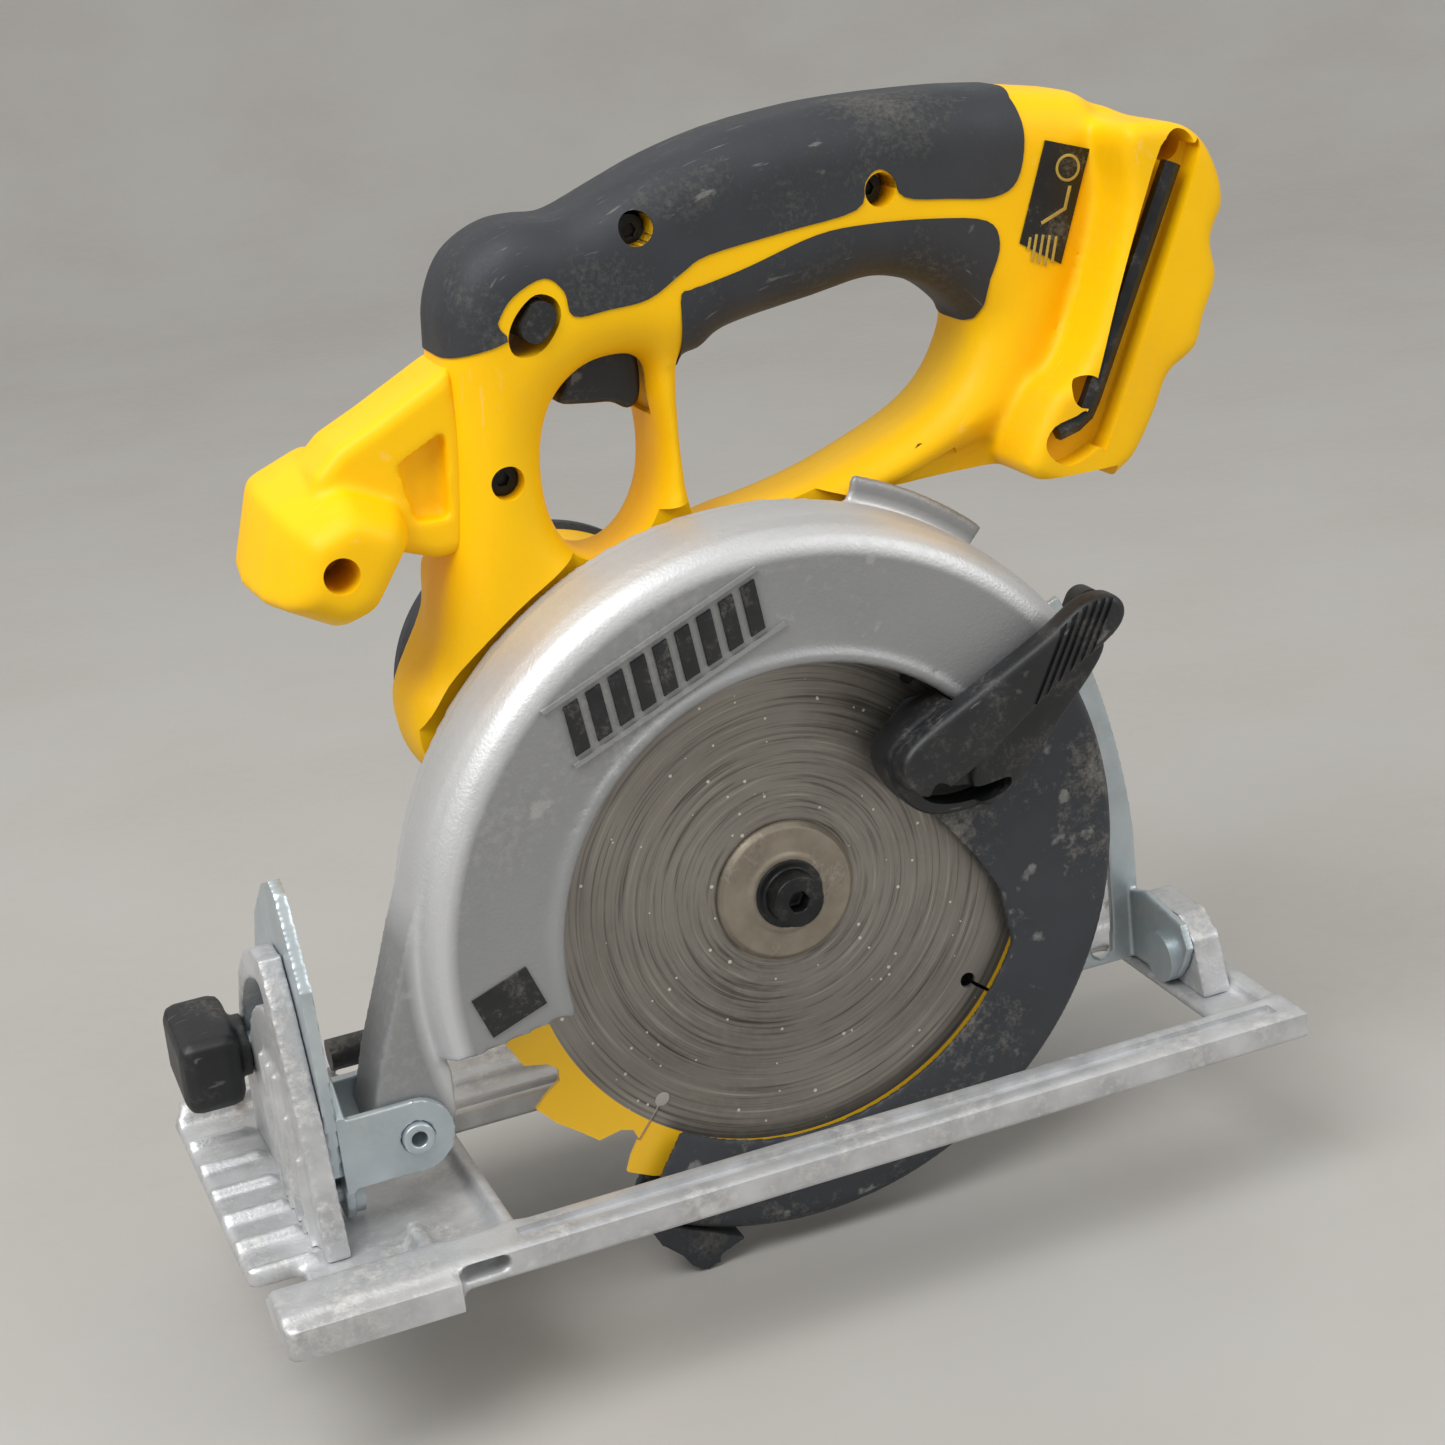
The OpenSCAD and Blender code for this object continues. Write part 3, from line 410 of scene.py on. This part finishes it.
def moulding(name, loops, low, high, edge=2.0, steps=3, soft=True):
    """A solid with a flat outline in X and Z and rounded edges, from one height to another along Y."""
    shape = bpy.data.curves.new(name, "CURVE")
    shape.dimensions = "2D"
    shape.fill_mode = "BOTH"
    for loop in loops:
        if soft:
            loop = flowing(loop)
        line = shape.splines.new("POLY")
        line.points.add(len(loop) - 1)
        for point, (x, z) in zip(line.points, loop):
            point.co = (x * MM, z * MM, 0, 1)
        line.use_cyclic_u = True
    shape.extrude = max((high - low) / 2 - edge, 0.01) * MM
    shape.bevel_depth = edge * MM
    shape.offset = -edge * MM
    shape.bevel_resolution = steps
    made = bpy.data.objects.new(name, shape)
    bpy.context.scene.collection.objects.link(made)
    only(made)
    bpy.ops.object.convert(target="MESH")
    made = bpy.context.object
    made.rotation_euler = (math.pi / 2, 0, 0)
    made.location = (0, (low + high) / 2 * MM, 0)
    return settle(made)


PLATE_MIDDLE = (-29, 70)
PLATE_SLOPE = 22.2
plate_cos = 0.926
plate_sin = 0.378
upper = recast("upper_guard", "upper_guard_casting", 1.0, 3, cast, "saw_body")
for rise in (-8.0, 8.0):
    centre = (PLATE_MIDDLE[0] - plate_sin * rise, -15.1, PLATE_MIDDLE[1] + plate_cos * rise)
    combine(upper, block("plate_rail", centre, (61, 1.6, 1.1), (0, -PLATE_SLOPE, 0)), "UNION")
bar_outline = [(-3.6, -6), (0.4, -6), (3.6, 6), (-0.4, 6)]
bars = []
for k in range(9):
    along = 6.3 * (k - 4)
    placed = [(PLATE_MIDDLE[0] + plate_cos * (along + x) - plate_sin * z,
               PLATE_MIDDLE[1] + plate_sin * (along + x) + plate_cos * z) for x, z in bar_outline]
    bars.append(moulding("bar", [placed], -16.0, -14.6, 0.25, 1, False))
finish_piece(join(*bars), "nameplate_marks", plate_paint, "saw_body", "guard_nameplate")

# ---------------------------------------------------------------------------
# Lower guard with its stop: charcoal nylon, dusty, with light worn patches, and a
# rubber stop that meets the soleplate when the guard is open.
# ---------------------------------------------------------------------------
guard_plastic = worn("Charcoal nylon", "#36393f", "#2c2f34", dust="#9c978d", patch=28, grain=0.7, rough=(0.45, 0.65),
                     bump=0.03, dusty=0.6, scratches=0.2)
paint(guard_plastic, "lower_guard")
rubber = worn("Moulded grip rubber", "#2e3137", "#26292e", dust="#77736b", patch=22, grain=0.5, rough=(0.55, 0.75),
              bump=0.04, dusty=0.4, scratches=0.12)
paint(rubber, "grip_top_overmould", "grip_lower_overmould", "bumper_ring", "guard_bumper")
recast("lower_guard", "lower_guard_moulding", 1.0, 2, guard_plastic, "swing_guard")
recast("guard_bumper", "guard_stop", 0.5, 3, rubber, "swing_guard")

# ---------------------------------------------------------------------------
# Lever of the lower guard: black nylon, a thick root with a crescent pocket, a
# stiff bar in front of the upper guard and a ribbed thumb end.
# ---------------------------------------------------------------------------
black_plastic = worn("Black nylon", "#17181a", "#202225", dust="#87827a", patch=14, grain=0.5, rough=(0.4, 0.6),
                     bump=0.03, dusty=0.35, scratches=0.1)
paint(black_plastic, "guard_lever", "trigger", "lock_off_button", "spindle_lock_button", "depth_lever", "bevel_knob",
      "terminal_block", "switch_module", "motor_fan", "fence_clamp_screw")
lever = join(
    moulding("lever_root", [[(24, 32), (27, 38), (36, 43.5), (45, 45.5), (54, 41), (58, 30), (57, 23), (54, 17.5),
                             (44, 15.5), (34, 17), (27.5, 23)]], -17.5, -5.2, 1.8),
    moulding("lever_bar", [[(25, 31), (28, 38.5), (46, 48), (66, 58), (77, 64.5), (85, 65.3), (88.5, 61), (85, 55),
                            (70, 46.5), (52, 34), (38, 26), (30, 25)]], -25.2, -17, 2.0),
    moulding("lever_web", [[(48, 17), (58, 22), (72, 36), (84, 50), (80, 56), (62, 45), (46, 30)]], -21, -15, 1.6))
apply_modifier(lever, "REMESH", mode="VOXEL", voxel_size=0.8 * MM)
apply_modifier(lever, "SMOOTH", factor=0.5, iterations=3)
crescent = moulding("crescent", [[(31.5, 24), (36, 19.8), (45, 18.4), (54, 20.2), (55, 23.5), (48, 23), (41, 23.5),
                                  (36, 27.5), (33, 28)]], -30, -10.5, 0.5, 1)
combine(lever, crescent, "DIFFERENCE")
# The root turns inside the upper guard's window, the bar in front of its face
window_edge = rod("window_edge", (0, -17.1, 0), (0, 6, 0), 120, 128)
combine(window_edge, rod("window", (0, -18, 0), (0, 7, 0), 62.2, 128), "DIFFERENCE")
combine(lever, window_edge, "DIFFERENCE")
for step in range(6):
    groove = block("groove", (68.5 + 3.0 * step, -25.6, 55.6 + 1.5 * step), (1.2, 2.4, 30), (0, 28, 0))
    combine(lever, groove, "DIFFERENCE")
finish_piece(lever, "guard_lever_arm", black_plastic, "swing_guard", "guard_lever")

# ---------------------------------------------------------------------------
# Motor housing and end cap, with the handle shells and the pommel: one yellow
# glass-filled nylon with a fine eroded texture, faintly dusty.
# ---------------------------------------------------------------------------
yellow = worn("Yellow glass-filled nylon", "#fcc604", "#f5bb02", dust="#cfae52", patch=40, grain=0.7,
              rough=(0.42, 0.6), bump=0.03, dusty=0.12, scratches=0.06, specular=0.22)
paint(yellow, "housing_near_shell", "housing_far_shell", "front_pommel", "motor_housing", "motor_end_cap")

# ---------------------------------------------------------------------------
# Handle body: two glass-filled nylon shells screwed together on the middle
# plane, the grip well rounded, the belly flat beside the guard, and a wide foot
# that takes the battery. All outlines are in millimetres, along X and Z.
# ---------------------------------------------------------------------------
grip_outline = [(-61, 147), (-59.5, 156), (-54, 165.5), (-44, 171), (-35, 171.5), (-28, 171), (-14, 176), (-1, 180.5),
                (17, 184.5), (39, 186.5), (60, 186.3), (80, 185), (100, 182), (112, 178), (115, 165), (113, 148),
                (104, 128), (98, 108), (86, 98), (72, 96), (56, 91), (40, 86), (20, 80), (-2, 76), (-20, 72),
                (-40, 64), (-60, 44), (-76, 40), (-82, 50), (-81, 62), (-74, 70), (-70, 84), (-66, 100), (-63, 124)]
belly_outline = [(-74, 40), (-50, 30), (-20, 30), (10, 44), (40, 58), (72, 74), (92, 85), (112, 100), (128, 130),
                 (131, 160), (118, 175), (96, 175), (82, 139), (80, 120), (74, 107), (60, 98), (45, 92), (28, 86.5),
                 (0, 82), (-20, 78), (-44, 80), (-66, 92), (-70, 78), (-80, 60), (-80, 48)]
hand_loop = [(-4, 94), (-4, 131), (2, 134), (9, 138.5), (33, 142), (50, 144), (64, 139.5), (72, 133), (75, 128),
             (72, 120), (67, 113), (59, 107), (45, 101), (28, 95.5), (8, 92)]
trigger_loop = [(-40, 100), (-41, 112), (-39, 123), (-34, 131), (-25, 136), (-13, 135), (-12, 125), (-11, 113),
                (-13, 101), (-19, 92), (-27, 88.5), (-35, 91)]
foot_outline = [(76, 95), (84, 88), (96, 84), (100, 88), (106, 92), (113, 103), (117, 111), (125, 116), (128, 124),
                (132, 133), (131, 143), (135, 152), (132, 164), (126, 171), (116, 173.5), (108, 172), (108, 155),
                (99, 128), (91, 115), (84, 111)]
HANDLE_MIDDLE = 32.0


def round_across(piece, loops, middle, reach, least):
    """Pulls a solid in towards its middle plane near its outline, so that its section is an oval."""
    mesh = piece.data
    spots = np.empty(len(mesh.vertices) * 3)
    mesh.vertices.foreach_get("co", spots)
    spots = spots.reshape(-1, 3)
    flat = spots[:, [0, 2]] / MM
    near = np.full(len(flat), 1e9)
    for loop in loops:
        ring = np.array(loop, float)
        for start, end in zip(ring, np.roll(ring, -1, axis=0)):
            way = end - start
            along = np.clip(((flat - start) @ way) / (way @ way), 0, 1)
            near = np.minimum(near, np.linalg.norm(flat - (start + along[:, None] * way), axis=1))
    share = least + (1 - least) * np.sqrt(1 - (1 - np.minimum(near / reach, 1)) ** 2)
    spots[:, 1] = (middle + (spots[:, 1] / MM - middle) * share) * MM
    mesh.vertices.foreach_set("co", spots.ravel())
    mesh.update()
    return piece


near_face, far_face = 14, 50
grip = moulding("grip", [grip_outline, hand_loop, trigger_loop], near_face, far_face, 3.4)
apply_modifier(grip, "REMESH", mode="VOXEL", voxel_size=1.3 * MM)
grip_loops = [flowing(loop) for loop in (grip_outline, hand_loop, trigger_loop)]
round_across(grip, grip_loops, HANDLE_MIDDLE, 13, 0.42)
belly = moulding("belly", [belly_outline], 21, far_face, 2.2)
foot = moulding("foot", [foot_outline], -4, 68, 3.5)
handle = join(grip, belly, foot)
apply_modifier(handle, "REMESH", mode="VOXEL", voxel_size=1.25 * MM)
apply_modifier(handle, "SMOOTH", factor=0.5, iterations=10)

# Rubber of the nose and the top of the grip, and of the finger side of the grip,
# moulded over the shells so that it stands a little proud of them.
top_rubber = [(-95, 146), (-51, 145.5), (-49.5, 151), (-45, 156.5), (-37, 159.5), (-32.5, 155.5), (-31, 149.5),
              (-22, 149.5), (-12, 150.3), (-3, 155), (4, 158), (24, 160.2), (43, 162.3), (46, 168.5), (49.5, 171),
              (53, 169), (56, 163.3), (68, 161), (80, 159.5), (86.5, 162.5), (89.3, 172), (88.5, 182), (84, 205),
              (-95, 205)]
low_rubber = [(-3, 127), (-4.2, 148), (-1, 150.6), (3, 151.3), (14, 153.5), (32, 158), (46, 158.4), (64, 156.8),
              (77.5, 154), (80.5, 148), (77.5, 139.5), (72, 126), (40, 118), (2, 120)]
rubber_blank = copy_of(handle, "rubber_blank")
apply_modifier(rubber_blank, "DISPLACE", strength=0.45 * MM, mid_level=0.0)
apply_modifier(rubber_blank, "SMOOTH", factor=0.5, iterations=6)
lower_blank = copy_of(rubber_blank, "lower_blank")
grip_top = combine(rubber_blank, moulding("top_region", [top_rubber], -10, 80, 0.3, 1), "INTERSECT")
grip_low = combine(lower_blank, moulding("low_region", [low_rubber], -10, 80, 0.3, 1), "INTERSECT")

# Holes and pockets: the rooms for the guard drum, the case, the middle gear and
# the depth strip, the battery socket, the wrench's channel, the lock-off hole,
# the slot for the trigger and the screw holes.
lock_off_outline = [(-47.3, 147.5), (-44.5, 152.5), (-39.5, 156), (-35, 154.3), (-34, 150), (-37.5, 144.5), (-42, 141.8),
                    (-46.5, 143)]
socket_turn = (0, 36, 0)  # the battery goes in along a line 36 degrees below X
pin = (-104, -34)  # the depth strip swings about the front pin
strip_sweep = [(188.5, -12 + 3.735 * k) for k in range(15)] + [(209, 40.3), (215, 39)]
strip_sweep += [(215, 36 - 4 * k) for k in range(13)]
strip_outline = [(pin[0] + far * math.cos(math.radians(angle)), pin[1] + far * math.sin(math.radians(angle)))
                 for far, angle in strip_sweep]
pockets = [
    moulding("strip_room", [strip_outline], 16.9, 20.1, 0.1, 1, False),
    rod("drum_room", (0, -20, 0), (0, 21, 0), 98.4, 128),
    rod("case_room", (-28, 12, 39), (-28, 51, 39), 38.3, 96),
    rod("mid_room", (-14, 12, 19.5), (-14, 51, 19.5), 22, 64),
    block("hollow", (70, 32, 66), (60, 80, 50)),
    block("battery_pocket", (118 + 8 * 0.809, 32, 122 - 8 * 0.588), (40, 52, 44), socket_turn),
    block("battery_step", (118 + 22 * 0.809, 32, 122 - 22 * 0.588), (22, 56, 48), socket_turn),
    moulding("lock_off_hole", [lock_off_outline], 4, 60, 0.2, 1),
    moulding("trigger_slot", [[(-36, 120), (-36, 150), (-9.5, 150), (-9.5, 120)]], 25, 39, 0.3, 1, False),
    moulding("wrench_pocket", [[(120, 168.5), (125.5, 167), (126.5, 161.5), (99.5, 101), (95, 96.5), (86, 93.5),
                                (80.5, 98.5), (83, 104), (91, 106.5), (95, 112), (114.5, 163)]], -12, 3.4, 0.6, 2),
]
screw_places = [(-13, 167), (50, 166), (-52, 113), (93, 111), (122, 167)]
shallow_screw = (93, 111)  # it stands in front of the battery socket
for x, z in screw_places:
    pockets.append(rod("screw_hole", (x, -10, z), (x, 3.5 if (x, z) == shallow_screw else 23, z), 4.2, 40))
    if (x, z) != shallow_screw:
        pockets.append(rod("screw_bore", (x, 20, z), (x, 45, z), 2.0, 24))
for pocket in pockets:
    combine(grip_top, pocket, "DIFFERENCE", keep=True)
    combine(grip_low, pocket, "DIFFERENCE", keep=True)
    combine(handle, pocket, "DIFFERENCE")
far_half = copy_of(handle, "far_half")
combine(handle, block("near_side", (0, -68, 120), (600, 200, 400)), "INTERSECT")
combine(far_half, block("far_side", (0, 132, 120), (600, 199.9, 400)), "INTERSECT")
finish_piece(handle, "shell_near", yellow, "saw_body", "housing_near_shell")
finish_piece(far_half, "shell_far", yellow, "saw_body", "housing_far_shell")
finish_piece(grip_top, "grip_rubber_top", rubber, "saw_body", "grip_top_overmould")
finish_piece(grip_low, "grip_rubber_low", rubber, "saw_body", "grip_lower_overmould")

# ---------------------------------------------------------------------------
# Front pommel: one hollow nylon moulding with soft flat sides, screwed to the
# column through a deep hole; a webbed arm carries it.
# ---------------------------------------------------------------------------
pommel_face = [(-104, 112), (-91, 117), (-79, 111), (-77.5, 105), (-88.5, 89.5), (-97, 87), (-109.5, 94)]
pommel_steps = [(6.5, 0.62, 0.0), (9, 0.84, 0.0), (15, 1.02, 0.3), (26, 1.18, 1.5), (40, 1.24, 3.0), (50, 1.16, 4.5),
                (57, 0.9, 5.0), (60, 0.62, 5.0)]


def barrel(name, face, steps):
    """A barrel with flat sides along Y: the face outline, swelled and shifted at each step."""
    middle_x = sum(x for x, z in face) / len(face)
    middle_z = sum(z for x, z in face) / len(face)
    bpy.ops.object.select_all(action="DESELECT")
    bpy.ops.mesh.primitive_circle_add(vertices=len(face), radius=1, fill_type="NGON")
    made = bpy.context.object
    made.name = name
    for vertex, (x, z) in zip(made.data.vertices, face):
        vertex.co = (x * MM, steps[0][0] * MM, z * MM)
    bpy.ops.object.mode_set(mode="EDIT")
    bpy.ops.mesh.select_all(action="SELECT")
    size = 1.0
    shift = 0.0
    for y, swell, lift in steps:
        if y != steps[0][0]:
            bpy.ops.mesh.extrude_region_move(
                TRANSFORM_OT_translate={
                    "value": (-0.3 * (lift - shift) * MM, (y - before) * MM, (lift - shift) * MM)})
        bpy.ops.transform.resize(value=(swell / size, 1, swell / size), center_override=(
            (middle_x - 0.3 * lift) * MM, y * MM, (middle_z + lift) * MM))
        before, size, shift = y, swell, lift
    bpy.ops.object.mode_set(mode="OBJECT")
    return settle(made)


pommel = barrel("pommel", pommel_face, pommel_steps)
apply_modifier(pommel, "BEVEL", width=2.6 * MM, segments=3, limit_method="ANGLE", angle_limit=math.radians(18))
arm = moulding("arm", [[(-102, 108), (-96, 122), (-90, 127.5), (-80, 132), (-60, 142), (-58, 120), (-62, 97),
                        (-70, 96.5), (-79, 100), (-92, 98)]], 20, 45, 3.0, 3, False)
arm_recess = moulding("arm_recess", [[(-76.5, 121), (-64, 127), (-66, 106), (-74, 107)]], 12, 25, 1.2, 2, False)
combine(arm, arm_recess, "DIFFERENCE")
pommel = join(pommel, arm)
apply_modifier(pommel, "REMESH", mode="VOXEL", voxel_size=1.0 * MM)
apply_modifier(pommel, "SMOOTH", factor=0.5, iterations=8)
combine(pommel, rod("pommel_hole", (-96.5, -5, 101.5), (-96.5, 29, 101.5), 4.4, 40), "DIFFERENCE")
finish_piece(pommel, "pommel", yellow, "saw_body", "front_pommel")

# ---------------------------------------------------------------------------
# Instruction label: black film with a ring, a bent key and plain lines printed in
# pale yellow ink, standing a hair proud of the film.
# ---------------------------------------------------------------------------
paint(worn("Black label film", "#161616", "#1d1d1d", patch=8, grain=0.4, rough=(0.2, 0.35), dusty=0.2),
      "instruction_label")
ink = worn("Yellow screen ink", "#b9a04a", "#a58d3e", patch=5, grain=0.4, rough=(0.35, 0.5), dusty=0.15)
circle = [(math.cos(math.radians(a)), math.sin(math.radians(a))) for a in range(0, 360, 15)]
marks = [
    moulding("mark", [[(100.6 + 3.4 * x, 163.4 + 3.4 * z) for x, z in circle],
                      [(100.6 + 2.7 * x, 163.4 + 2.7 * z) for x, z in circle]], 13.5, 13.7, 0.05, 1, False),
    moulding("mark", [[(100.4, 159), (101.3, 158.8), (99.4, 153.2), (92.4, 150.6), (92.1, 151.4), (98.7, 153.9)]],
             13.5, 13.7, 0.05, 1, False)]
for x, z, reach in ((88.6, 148.2, 3.2), (90.4, 148.6, 6.8), (92.2, 148.2, 7.2), (94.0, 147.8, 7.6),
                    (95.8, 147.2, 6.6)):
    marks.append(moulding("mark", [[(x, z), (x + 0.7, z - 0.2), (x + 0.7 - 0.26 * reach, z - 0.2 - 0.97 * reach),
                                    (x - 0.26 * reach, z - 0.97 * reach)]], 13.5, 13.7, 0.05, 1, False))
finish_piece(join(*marks), "label_print", ink, "saw_body")

# ---------------------------------------------------------------------------
# Blade wrench: black hex bar with one short bent end, pressed into its channel
# in the battery foot.
# ---------------------------------------------------------------------------
wrench_line = [(121, 163), (94.8, 108.7), (92.8, 105.4), (89.6, 103.4), (84.6, 102.2)]
path = bpy.data.curves.new("wrench_path", "CURVE")
path.dimensions = "3D"
line = path.splines.new("POLY")
line.points.add(len(wrench_line) - 1)
for point, (x, z) in zip(line.points, wrench_line):
    point.co = (x * MM, -1.2 * MM, z * MM, 1)
path.bevel_depth = 2.55 * MM
path.bevel_resolution = 1
path.use_fill_caps = True
wrench = bpy.data.objects.new("wrench_bar", path)
bpy.context.scene.collection.objects.link(wrench)
only(wrench)
bpy.ops.object.convert(target="MESH")
wrench = settle(bpy.context.object)
finish_piece(wrench, "blade_wrench", black_steel, "wrench", "hex_wrench", angle=25)

# ---------------------------------------------------------------------------
# Trigger: black nylon lever with a finger hollow, in its slot above the finger.
# It turns on a pin between the two shells.
# ---------------------------------------------------------------------------
finger_lever = moulding("finger_lever", [[
    (-33.6, 127), (-31.5, 132), (-29.5, 138), (-29, 144), (-25, 146.5), (-14, 146.5), (-12.5, 134), (-12.5, 128),
    (-13.6, 123.8), (-16.5, 122.4), (-20.5, 124.6), (-26.5, 125.4)]], 25.6, 38.4, 1.6, 3)
finish_piece(finger_lever, "trigger_lever", black_plastic, "trigger_lever", "trigger")

# ---------------------------------------------------------------------------
# Depth frame: zinc-plated pressed steel, faintly blue, rubbed and dusty: the front
# bracket, the quadrant with its rivets, the strip with its bolt, and the pin that
# carries the guard.
# ---------------------------------------------------------------------------
zinc = worn("Zinc-plated steel", "#c3ccd0", "#adb8be", dust="#d9d4c6", patch=16, grain=0.5, rough=(0.3, 0.5),
            metal=0.7, bump=0.02, dusty=0.45, scratches=0.2)
paint(zinc, "front_bracket", "quadrant_plate", "depth_strip", "depth_bolt", "bevel_rivets", "pivot_pin")
recast("front_bracket", "front_bracket_pressing", 0.5, 2, zinc, "depth_frame")
recast("quadrant_plate", "quadrant_pressing", 0.6, 2, zinc, "depth_frame")
recast("depth_strip", "depth_strip_pressing", 0.6, 2, zinc, "depth_frame")
recast("pivot_pin", "pivot_pin_turned", 0.4, 2, zinc, "saw_body")

# ---------------------------------------------------------------------------
# Soleplate with its quadrant and rear upright: one grey aluminium casting, scuffed
# with bright scratches, with a channel along the near rail.
# ---------------------------------------------------------------------------
shoe_cast = worn("Scuffed aluminium casting", "#d0d1d3", "#b0b1b3", dust="#ebe9e4", patch=14, grain=0.9,
                 rough=(0.35, 0.55), metal=0.55, bump=0.10, dusty=0.65, scratches=0.35)
paint(shoe_cast, "shoe", "bevel_quadrant", "rear_upright")
recast("shoe", "soleplate_casting", 1.25, 2, shoe_cast, "base", (
    block("rail_channel", (13, -38.6, -50.3), (206, 4.6, 3.4)),))
recast("bevel_quadrant", "quadrant_casting", 0.8, 3, shoe_cast, "base")
recast("rear_upright", "rear_upright_casting", 0.8, 3, shoe_cast, "base")

# ---------------------------------------------------------------------------
# Bevel knob: moulded black block with broad chamfers on a round collar.
# It clamps the quadrant at the bevel angle.
# ---------------------------------------------------------------------------
knob = block("knob", (-143.2, 46.7, -25.2), (15.6, 25, 21), (10, 0, 0))
apply_modifier(knob, "BEVEL", width=3.4 * MM, segments=2, limit_method="NONE")
knob = join(knob, rod("knob_collar", (-136, 46.7, -25.2), (-132.3, 46.7, -25.2), 8, 40))
apply_modifier(knob, "REMESH", mode="VOXEL", voxel_size=0.6 * MM)
apply_modifier(knob, "SMOOTH", factor=0.5, iterations=3)
finish_piece(knob, "bevel_knob_moulding", black_plastic, "bevel_clamp", "bevel_knob")
